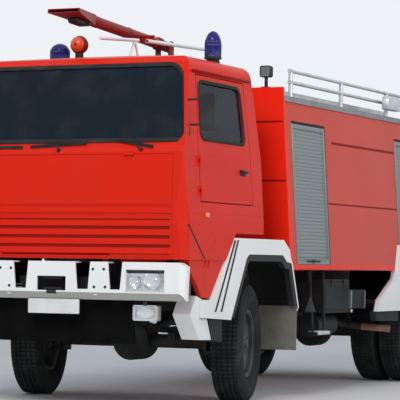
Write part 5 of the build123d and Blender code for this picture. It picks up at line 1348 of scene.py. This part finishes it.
@dataclass
class RoofGear:
    """Beacons, siren, the monitor's fittings, its white tiller and what lies on the roof."""

    shop: Workshop
    beacons: tuple[Quad, ...] = ((0.915, 1.200, 0.078, 3.270), (-0.620, 1.200, 0.095, 3.210))
    """Each beacon's place across and back, its radius and its top."""
    beacon_foot: tuple[Spot, ...] = ((0.80, -0.004), (0.80, 0.012), (0.72, 0.020), (0.72, 0.030), (0.99, 0.034),
                                     (0.99, 0.052), (0.93, 0.056), (0.0, 0.056))
    siren: Point = (-0.420, 1.200, 3.190)
    siren_radius: float = 0.085
    crown: Triple = (3.032, 0.060, 1.076)
    tiller: tuple[Point, Point] = ((0.0, 1.725, 3.268), (0.0, 2.960, 3.316))
    stay: tuple[Point, Point] = ((0.0, 0.805, 3.199), (0.0, 1.550, 3.255))
    monitor: Point = (-0.160, 2.420, 3.295)
    turret_drop: float = 0.212
    raised: float = math.radians(3.1)
    couplings: tuple[Triple, ...] = (
        (0.110, 0.064, 0.024), (0.142, 0.064, 0.024), (0.760, 0.055, 0.030), (1.390, 0.0535, 0.020),
        (1.420, 0.0530, 0.030), (1.456, 0.0522, 0.018))
    """Each coupling's reach along the barrel, its radius and its width."""
    pipe_radius: float = 0.0505
    roof_z: float = 2.787
    rail_posts: tuple[float, ...] = (2.770, 4.080, 5.390, 6.700)

    def build(self) -> None:
        """Builds the pieces of both roofs."""
        self.make_beacons()
        self.make_siren()
        self.make_pole()
        self.make_monitor_foot()
        self.make_turret_gear()
        self.make_couplings()
        self.make_lever()
        self.make_work_lamps()
        self.make_vent()
        self.make_rail_feet()

    def roof_height(self, x: float) -> float:
        """Height of the cab's roof at a place across it."""
        top, rise, half = self.crown
        return top - rise * (x / half) ** 2

    def make_beacons(self) -> None:
        """Domed blue beacons on black feet."""
        domes, feet = [], []
        start = 0.053
        for x, y, radius, top in self.beacons:
            low = self.roof_height(x)
            foot = [(radius * share, height) for share, height in self.beacon_foot]
            feet.append(turned("beacon_foot", foot, at(x, y, low), Z))
            rise = top - low - start
            angles = [math.radians(step * 11.25) for step in range(9)]
            dome = [(radius * 0.95, start), *((radius * 0.97 * math.cos(angle), start + rise * 0.42 + rise * 0.58
                                               * math.sin(angle)) for angle in angles)]
            glass = turned("beacon_dome", dome, at(x, y, low), Z)
            domes.append(pressed(glass, lambda place, facing: abs(facing.z) < 0.25
                                 and place.z > low + start + 0.012, (radius * 0.03, -0.0016), each=True))
        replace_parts(self.shop.deliver(joined("beacon_domes", domes), Finish.BLUE), "beacons")
        self.shop.deliver(joined("beacon_feet", feet), Finish.TRIM)

    def make_siren(self) -> None:
        """The round siren on the cab's roof: a shell, a rim round it, its face and a bolted foot."""
        x, y, z = self.siren
        radius, centre = self.siren_radius, at(x, y, z)
        angles = [math.radians(-90 + step * 11.25) for step in range(17)]
        ball = [(max(radius * 0.97 * math.cos(angle), 0), radius * 0.97 * math.sin(angle)) for angle in angles]
        shell = turned("siren_shell", ball, centre, Y)
        pressed(shell, toward(-Y, 0.80), (0.004, -0.004))
        pressed(shell, toward(-Y, 0.97), (0.003, 0.006))
        rim = [(radius * 0.975, -0.007), (radius, -0.005), (radius, 0.005), (radius * 0.975, 0.007)]
        band = turned("siren_rim", rim, centre, Y, closed=True)
        low = self.roof_height(x)
        foot = [(0.066, -0.004), (0.066, 0.008), (0.060, 0.011), (0.042, 0.013), (0.038, 0.024),
                (0.038, z - radius * 0.88 - low)]
        stand = turned("siren_foot", foot, at(x, y, low), Z, 32)
        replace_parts(self.shop.deliver(joined("siren_body", [shell, band]), Finish.MONITOR_RED), "siren")
        reach = 0.0838
        angles = [math.radians(8 * step) for step in range(8)]
        face = [*((reach * math.sin(angle), -reach * math.cos(angle)) for angle in angles),
                (0.0660, -0.0500), (0.0640, -0.0440)]
        self.shop.deliver(turned("siren_face", face, centre, Y), Finish.HORN)
        screws = []
        for turn in (math.radians(45 + 90 * n) for n in range(4)):
            place = at(x, y, low + 0.009) + (X * math.cos(turn) + Y * math.sin(turn)) * 0.055
            screws.append(rod("screw", place, place + Z * 0.008, 0.006, 0.0055, 6))
        self.shop.deliver(joined("siren_stand", [stand, *screws]), Finish.TRIM)

    def make_pole(self) -> None:
        """White sleeves on the tiller and on the stay in front of it."""
        for name, line, radius, body in (("tiller", self.tiller, 0.0185, "monitor_barrel"),
                                         ("stay", self.stay, 0.0160, "chassis")):
            start, end = (at(*place) for place in line)
            sleeve = rod(f"{name}_sleeve", start.lerp(end, 0.004), start.lerp(end, 0.996), radius)
            pressed(sleeve, along(Y), (0.004,), (0.002, -0.003), each=True)
            self.shop.deliver(sleeve, Finish.WHITE, body)

    def make_monitor_foot(self) -> None:
        """Bolts of the monitor's foot, and the weld and rings of its pipe."""
        x, y, _ = self.monitor
        low = self.roof_z
        foot = at(x, y, low)
        bolt = rod("bolt", Vector((0.093, 0, 0.020)), Vector((0.093, 0, 0.036)), 0.011, sides=6)
        bolts = repeated(bolt, [Matrix.Translation(foot) @ Matrix.Rotation(math.tau * n / 8, 4, "Z") for n in range(8)])
        self.shop.deliver(joined("monitor_foot_bolts", bolts), Finish.NUT)
        weld = [(0.0625, 0.024), (0.080, 0.024), (0.070, 0.046), (0.0625, 0.050)]
        rings = [turned("weld", weld, foot, Z, closed=True)]
        for level in (0.110, 0.180):
            ring = [(0.0622, level), (0.071, level + 0.003), (0.071, level + 0.017), (0.0622, level + 0.020)]
            rings.append(turned("ring", ring, foot, Z, closed=True))
        self.shop.deliver(joined("monitor_pipe_rings", rings), Finish.MONITOR_RED)

    def make_turret_gear(self) -> None:
        """The gear housing with its worm, the turret's girdle and the hand wheel with its knob."""
        x, y, z = self.monitor
        low = z - self.turret_drop
        gear = box("gear_housing", (x - 0.165, y - 0.045, low + 0.012), (x - 0.070, y + 0.045, low + 0.082), 0.012, 3)
        shaft_x, shaft_z = x - 0.130, low + 0.047
        worm = rod("worm", (shaft_x, y + 0.040, shaft_z), (shaft_x, y + 0.110, shaft_z), 0.022, 0.018)
        girdle = [(0.0845, 0.010), (0.092, 0.013), (0.092, 0.030), (0.0845, 0.033)]
        band = turned("girdle", girdle, at(x, y, low), Z, closed=True)
        self.shop.deliver(joined("turret_gear", [gear, worm, band]), Finish.MONITOR_RED, "monitor_turret")
        wheel = self.hand_wheel(at(shaft_x, y + 0.118, shaft_z), 0.062)
        knob = rod("knob", (x - 0.186, y + 0.110, low + 0.055), (x - 0.186, y + 0.172, low + 0.060), 0.013, 0.017, 18)
        self.shop.deliver(joined("turret_hand_wheel", [wheel, knob]), Finish.ALLOY, "monitor_turret")

    @staticmethod
    def hand_wheel(centre: Vector, radius: float) -> Object:
        """A spoked hand wheel that faces backwards."""
        shape = ((-0.007, -0.006), (0, -0.008), (0.006, 0), (0, 0.008), (-0.007, 0.006))
        ring = [(radius + out, reach) for out, reach in shape]
        rim = turned("hand_wheel", ring, centre, Y, closed=True)
        hub = rod("hub", centre - Y * 0.014, centre + Y * 0.014, 0.018, 0.015, 20)
        spokes = [rod("spoke", centre, centre + (X * math.cos(turn) + Z * math.sin(turn)) * radius, 0.006, 0.005, 10)
                  for turn in (math.radians(45 + 90 * n) for n in range(4))]
        return joined("hand_wheel", [rim, hub, *spokes])

    def mount(self, obj: Object, finish: Finish) -> None:
        """Puts a piece that was made about the origin, forwards along -Y, on the barrel and delivers it."""
        obj.data.transform(Matrix.Translation(at(*self.monitor)) @ Matrix.Rotation(-self.raised, 4, "X"))
        self.shop.deliver(obj, finish, "monitor_barrel")

    def make_couplings(self) -> None:
        """Couplings and flange bolts along the barrel, the mouth's ribs and its lip."""
        pipe = self.pipe_radius
        pieces = []
        for reach, radius, width in self.couplings:
            ring = [(pipe, -reach), (radius, -reach - 0.003), (radius, -reach - width + 0.003), (pipe, -reach - width)]
            pieces.append(turned("coupling", ring, Vector(), Y, closed=True))
        for side in (-1, 1):
            for z in (0.018, -0.018):
                start = Vector((side * 0.056, -0.104, z))
                pieces.append(rod("flange_bolt", start, start - Y * 0.070, 0.007, sides=6))
        for side in (-1, 1):
            corners = ((0.03, -1.500, 0.0455), (0.070, -1.820, 0.028), (0.076, -1.820, 0.028), (0.036, -1.500, 0.0455))
            rib = loop("fan_rib", [Vector((side * x, y, z)) for x, y, z in corners])
            pieces.append(thick(rib, 0.008, 0.0))
        lip = box("lip", Vector((-0.157, -2.000, -0.019)), Vector((0.157, -1.982, 0.019)))
        with edit(lip):
            pick(lip, along(Y))
            inset(0.008, each=True)
            bpy.ops.mesh.bridge_edge_loops()
        pieces.append(rounded(lip, 0.002))
        self.mount(joined("barrel_couplings", pieces), Finish.MONITOR_RED)

    def make_lever(self) -> None:
        """The deflector's lever under the barrel's neck."""
        plate = box("lever", Vector((-0.050, -1.830, -0.078)), Vector((0.050, -1.590, -0.036)))
        softened(plate, along(X, lambda place: place.z < -0.05), 0.030)
        pin = rod("pin", Vector((-0.066, -1.640, -0.056)), Vector((0.066, -1.640, -0.056)), 0.012, sides=16)
        self.mount(joined("deflector_lever", [rounded(plate, 0.006), pin]), Finish.TRIM)

    def make_work_lamps(self) -> None:
        """Work lamps at the body's front corners."""
        housing = box("work_lamp", (0.888, 2.292, 2.960), (0.998, 2.352, 3.068))
        softened(housing, along(Y), 0.022)
        pressed(housing, toward(-Y), (0.008,), (0.002, -0.008))
        stem = box("stem", (0.928, 2.312, 2.8655), (0.958, 2.332, 2.968), 0.004)
        base = box("base", (0.905, 2.2815, 2.866), (0.981, 2.345, 2.872), 0.002)
        glass = box("work_lamp_glass", (0.897, 2.2945, 2.969), (0.989, 2.300, 3.059))
        softened(glass, along(Y), 0.016)
        self.shop.both(joined("work_lamp", [housing, stem, base]), Finish.TRIM)
        self.shop.both(glass, Finish.LENS)

    def make_vent(self) -> None:
        """A round-backed vent on each side of the roof."""
        hood = box("roof_vent", (1.062, 5.100, 2.8665), (1.136, 5.470, 3.010))
        softened(hood, along(X, lambda place: place.z > 2.9), 0.060, 6)
        pressed(hood, along(X), (0.010, 0.003), each=True)
        self.shop.both(rounded(hood, 0.003), Finish.ALLOY)

    def make_rail_feet(self) -> None:
        """Welded foot plates, corner sleeves and clamps of the roof rails."""
        pieces = []
        z = self.roof_z
        for y in self.rail_posts:
            pieces.append(box("foot", (0.955, y - 0.045, z), (1.045, y + 0.045, z + 0.008), 0.003))
            for dx in (-0.030, 0.030):
                for dy in (-0.030, 0.030):
                    pieces.append(rod("bolt", (1.0 + dx, y + dy, z + 0.006), (1.0 + dx, y + dy, z + 0.016), 0.007,
                                      sides=6))
            for level in (2.950, 3.058):
                pieces.append(rod("sleeve", (1.0, y - 0.030, level), (1.0, y + 0.030, level), 0.0205, sides=18))
        self.shop.both(joined("rail_fittings", pieces), Finish.ALLOY)


@dataclass
class Seats:
    """Three padded seats: a cushion and a back each, blown up as cloth, on steel plinths."""

    shop: Workshop
    places: tuple[Spot, ...] = ((0.560, 0.500), (-0.030, 0.480), (-0.610, 0.500))
    """Each seat's place across and its width."""
    voxel: float = 0.009
    swell: float = 0.014
    frames: int = 20
    channel: float = 0.012
    channel_depth: float = 0.007
    back_z: float = 1.775
    back_height: float = 0.61

    def build(self) -> None:
        """Builds one cushion and one back, and copies them to the three places."""
        width = self.places[0][1]
        cushion, back, seams = self.make_cushion(width / 2), self.make_back(width / 2), self.make_piping(width / 2)
        for number, (x, wide) in enumerate(self.places):
            place = Matrix.Translation((x, 0, 0)) @ Matrix.Diagonal((wide / width, 1, 1, 1))
            for kind, piece in (("cushion", cushion), ("back", back)):
                pad = self.shop.deliver(copied(piece, f"seat_{kind}_{number}", place), Finish.SEAT, smooth=60)
                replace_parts(pad, "seats")
            self.shop.deliver(copied(seams, f"seat_piping_{number}", place), Finish.TRIM)
            self.shop.deliver(self.make_plinth(number, x, wide / 2), Finish.BLACK)
        for piece in (cushion, back, seams):
            bpy.data.objects.remove(piece)

    def blown(self, pad: Object) -> None:
        """Fills a pad with air as cloth, and holds each point near where it was.

        Args:
            pad: A closed form a little smaller than the finished pad.
        """
        modify(pad, "REMESH", mode="VOXEL", voxel_size=self.voxel, use_smooth_shade=True)
        before = [vertex.co.copy() for vertex in pad.data.vertices]
        only(pad)
        bpy.ops.object.modifier_add(type="CLOTH")
        cloth = pad.modifiers[-1]
        cloth.settings.use_pressure = True
        cloth.settings.uniform_pressure_force = 4
        cloth.settings.effector_weights.gravity = 0
        cloth.point_cache.frame_start, cloth.point_cache.frame_end = 1, self.frames
        for frame_number in range(1, self.frames + 1):
            bpy.context.scene.frame_set(frame_number)
        bpy.ops.object.modifier_apply(modifier=cloth.name)
        bpy.context.scene.frame_set(1)
        for vertex, place in zip(pad.data.vertices, before):
            way = vertex.co - place
            if way.length > self.swell:
                vertex.co = place + way * (self.swell / way.length)
        pad.data.update()
        modify(pad, "SUBSURF", levels=1, render_levels=1)

    def sewn(self, pad: Object, axis: int, lines: Sequence[float], top: Vector) -> None:
        """Draws channels into the padded face.

        Args:
            pad: The pad.
            axis: The coordinate that the channels are level in.
            lines: Where they are along it.
            top: Outward direction of the padded face.
        """
        facings = [vertex.normal.dot(top) for vertex in pad.data.vertices]
        for vertex, facing in zip(pad.data.vertices, facings):
            if facing > 0.3:
                near = min(abs(vertex.co[axis] - line) for line in lines)
                vertex.co -= top * self.channel_depth * facing * math.exp(-(near / self.channel) ** 2)
        pad.data.update()

    @staticmethod
    def padding(name: str, low: Vector, high: Vector, edge: float) -> Object:
        """A block with round edges, fine enough to be shaped as a pad."""
        pad = box(name, low, high)
        with edit(pad, "EDGE", taken=True):
            bevel(edge, 4)
            bpy.ops.mesh.select_all(action="SELECT")
            bpy.ops.mesh.subdivide(number_cuts=6)
        return pad

    def make_cushion(self, half: float) -> Object:
        """One seat cushion about the middle of the vehicle, drawn in between its corners."""
        low, high = at(-half + 0.012, 0.972, 1.645), at(half - 0.012, 1.500, 1.742)
        pad = self.padding("cushion", low, high, 0.026)
        middle, spans = (low + high) / 2, (high - low) / 2
        for vertex in pad.data.vertices:
            x, y = ((vertex.co[n] - middle[n]) / spans[n] for n in range(2))
            vertex.co.x -= x * 0.006 * max(1 - y ** 2, 0)
            vertex.co.y -= y * 0.006 * max(1 - x ** 2, 0)
        pad.data.update()
        self.blown(pad)
        self.sewn(pad, 1, [low.y + 0.13 * n for n in (1, 2, 3)], Z)
        return pad

    def make_back(self, half: float) -> Object:
        """One backrest, a little narrower towards its top, about the middle of the vehicle."""
        z, height = self.back_z, self.back_height
        pad = self.padding("back", at(-half + 0.014, 1.448, z), at(half - 0.014, 1.522, z + height), 0.024)
        for vertex in pad.data.vertices:
            rise = (vertex.co.z - z) / height
            vertex.co.y += 0.062 * rise
            vertex.co.x *= 1 - 0.10 * max(rise - 0.6, 0) / 0.4
        pad.data.update()
        self.blown(pad)
        self.sewn(pad, 2, (1.92, 2.06, 2.20), -Y)
        return pad

    @staticmethod
    def make_piping(half: float) -> Object:
        """The piping round the cushion's top edge."""
        side, z = half - 0.012, 1.722
        corners = [at(-side, 0.968, z), at(side, 0.968, z), at(side, 1.505, z), at(-side, 1.505, z)]
        return frame_of("piping", corners, 0.034, 0.007, 0.007, offset=0.0, edge=0.0024, segments=5)

    @staticmethod
    def make_plinth(number: int, x: float, half: float) -> Object:
        """The steel box under a seat, with pressed panels, the seat's pan and the back's plate."""
        foot = box("plinth", (x - half + 0.060, 1.130, 1.5355), (x + half - 0.060, 1.500, 1.636))
        pressed(foot, lambda place, facing: abs(facing.z) < 0.5, (0.018,), (0.004, -0.005), each=True)
        pan = box("pan", (x - half + 0.020, 0.985, 1.634), (x + half - 0.020, 1.495, 1.652), 0.006)
        corners = [at(x + half - 0.03, 1.530, 1.700), at(x - half + 0.03, 1.530, 1.700),
                   at(x - half + 0.05, 1.588, 2.340), at(x + half - 0.05, 1.588, 2.340)]
        plate = plate_of("back_pan", corners, 0.010, 0.040, 0.003)
        return joined(f"seat_plinth_{number}", [rounded(foot, 0.004), pan, plate])


@dataclass
class Tail:
    """Rear lamps with their chambers, the blank rear plate and the ladder's fittings."""

    shop: Workshop
    lamp_x: Spot = (0.820, 1.130)
    lamp_y: float = 7.160
    lamp_z: Spot = (0.575, 0.675)
    cells: tuple[Spot, ...] = ((0.828, 0.930), (0.934, 1.032), (1.036, 1.122))
    plate_y: float = 7.1635
    body_y: float = 7.060
    ladder_x: Spot = (-1.010, -0.680)
    ladder_y: float = 7.150
    rung_z: float = 1.260
    rung_pitch: float = 0.300
    rungs: int = 6

    def build(self) -> None:
        """Builds the pieces of the tail."""
        self.make_lamps()
        self.make_plate()
        self.make_ladder_fittings()

    def make_lamps(self) -> None:
        """Each rear lamp: a black tray, two red chambers and an amber one with moulded ribs."""
        (x0, x1), y, (z0, z1) = self.lamp_x, self.lamp_y, self.lamp_z
        tray = box("rear_lamp_tray", (x0 + 0.001, y + 0.0005, z0 + 0.001), (x1 - 0.001, y + 0.020, z1 - 0.001))
        softened(tray, along(Y), 0.016)
        cells = []
        for start, end in self.cells:
            cell = box("cell", (start, y + 0.018, z0 + 0.008), (end, y + 0.030, z1 - 0.008))
            softened(cell, lambda place, way: abs(way.y) > 0.9 or place.y > y + 0.029 - MID_LENGTH, 0.004, 3)
            cells.append(pressed(cell, toward(Y, 0.95), (0.010,), (0.003, 0.001)))
        for piece in self.shop.both(tray, Finish.TRIM):
            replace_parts(piece, "rear_lamps")
        self.shop.both(joined("rear_lamp_red", cells[:2]), Finish.REAR_RED)
        self.shop.both(joined("rear_lamp_amber", cells[2:]), Finish.AMBER)

    def make_plate(self) -> None:
        """A blank plate and its lamp on the rear beam, and the beam's end caps."""
        plate = blank_plate("rear_plate", flat(self.plate_y, 0.66, 0.16, 0.572, 0.684), 0.003)
        self.shop.deliver(plate, Finish.PLATE)
        hood = box("plate_lamp", (0.360, 7.115, 0.690), (0.460, 7.167, 0.712))
        softened(hood, along(X, lambda place: place.z > 0.70), 0.009, 3)
        ends = box("beam_ends", (1.1495, 7.060, 0.564), (1.158, 7.157, 0.686), 0.003)
        self.shop.deliver(hood, Finish.TRIM)
        self.shop.both(ends, Finish.TRIM)

    def make_ladder_fittings(self) -> None:
        """Foot plates, end caps and grip sleeves of the rear ladder."""
        pieces = []
        back, y = self.body_y, self.ladder_y
        for x in self.ladder_x:
            for z in (1.300, 2.650):
                pieces.append(box("foot", (x - 0.035, back - 0.002, z - 0.035), (x + 0.035, back + 0.008, z + 0.035),
                                  0.003))
                for dx in (-0.022, 0.022):
                    pieces.append(rod("bolt", (x + dx, back + 0.006, z + 0.020), (x + dx, back + 0.014, z + 0.020),
                                      0.006, sides=6))
            for z0, z1 in ((1.195, 1.215), (3.035, 3.055)):
                pieces.append(rounded(rod("cap", (x, y, z0), (x, y, z1), 0.019, sides=20), 0.004))
        left, right = self.ladder_x
        for z in (self.rung_z + self.rung_pitch * n for n in range(self.rungs)):
            pieces.append(rod("sleeve", (left + 0.03, y, z), (right - 0.03, y, z), 0.0145, sides=12))
        self.shop.deliver(joined("ladder_fittings", pieces), Finish.ALLOY)


@dataclass
class Studio:
    """Floor, lamps, world and the camera at the photograph's place."""

    eye: Point = (8.529, -18.808, 1.223)
    yaw: float = math.radians(25.196)
    pitch: float = math.radians(1.773)
    roll: float = math.radians(0.809)
    focal_px: float = 2063.5
    frame_px: float = 400.0
    sensor: float = 36.0
    floor_size: float = 120.0
    lamps: tuple[tuple[str, Point, Point, float, float], ...] = (
        ("key", (3.0, -17.0, 13.0), (0, -1.5, 1.6), 6.0, 1900.0),
        ("side", (17.0, -4.0, 8.0), (0.5, 0, 1.6), 8.0, 900.0))
    """Each lamp's name, place, aim, size and power: a strong one in front and a weak one on the left side."""

    def build(self) -> None:
        """Puts up the whole studio."""
        self.make_floor()
        self.make_world()
        self.make_lamps()
        self.make_camera()

    def make_floor(self) -> None:
        """A plain pale floor under the wheels."""
        bpy.ops.mesh.primitive_plane_add(size=self.floor_size, location=(0, 0, 0))
        floor = bpy.context.object
        floor.name = "floor"
        sheet = NodeSheet("floor_grey")
        sheet.put(base=sheet.mix(sheet.noise(0.6, 4), (0.62, 0.62, 0.61), (0.70, 0.70, 0.69)), rough=0.85)
        floor.data.materials.append(sheet.material)

    @staticmethod
    def make_world() -> None:
        """Soft light from all round, with a pale background for the camera, metal and glass."""
        world = bpy.data.worlds.new("studio")
        bpy.context.scene.world = world
        world.use_nodes = True
        nodes = Nodes(world.node_tree)
        path = nodes.node("LightPath")
        soft = nodes.node("Background", Color=(0.80, 0.88, 1.0, 1), Strength=0.55)
        seen = nodes.node("Background", Color=(0.86, 0.89, 0.92, 1), Strength=1.0)
        rays = (path.outputs[f"Is {kind} Ray"] for kind in ("Camera", "Transmission", "Glossy"))
        straight = nodes.sum("MAXIMUM", *rays)
        mix = nodes.node("MixShader")
        for start, end in zip((straight, soft.outputs[0], seen.outputs[0]), mix.inputs):
            nodes.join(start, end)
        nodes.join(mix.outputs[0], nodes.node("OutputWorld").inputs["Surface"])

    def make_lamps(self) -> None:
        """Large square lamps, each turned to its aim."""
        for name, place, aim, size, power in self.lamps:
            light = bpy.data.lights.new(name, "AREA")
            light.size = size
            light.energy = power
            lamp = bpy.data.objects.new(name, light)
            lamp.location = place
            lamp.rotation_euler = (Vector(place) - Vector(aim)).to_track_quat("Z", "Y").to_euler()
            bpy.context.scene.collection.objects.link(lamp)

    def make_camera(self) -> None:
        """The camera that was fitted to the photograph's lines."""
        look = Vector((-math.sin(self.yaw) * math.cos(self.pitch), math.cos(self.yaw) * math.cos(self.pitch),
                       math.sin(self.pitch)))
        level = Vector((math.cos(self.yaw), math.sin(self.yaw), 0))
        rise = level.cross(look)
        right = level * math.cos(self.roll) + rise * math.sin(self.roll)
        up = rise * math.cos(self.roll) - level * math.sin(self.roll)
        camera = bpy.data.cameras.new("camera")
        camera.sensor_width = self.sensor
        camera.lens = self.focal_px / self.frame_px * self.sensor
        camera.clip_end = 500
        holder = bpy.data.objects.new("camera", camera)
        holder.matrix_world = Matrix.Translation(self.eye) @ Matrix((right, up, -look)).transposed().to_4x4()
        bpy.context.scene.collection.objects.link(holder)
        bpy.context.scene.camera = holder


def main() -> None:
    """Dresses the fire engine and puts it in the studio."""
    logging.basicConfig(level=logging.INFO, format="%(message)s")
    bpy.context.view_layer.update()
    bpy.context.scene.view_settings.view_transform = "Standard"
    shop = Workshop()
    shop.dress_nodes()
    for assembly in (Wheels, CabTrim, Nose, Flanks, RoofGear, Seats, Tail):
        assembly(shop).build()
    Studio().build()
    bpy.context.view_layer.update()


if __name__ == "__main__":
    main()
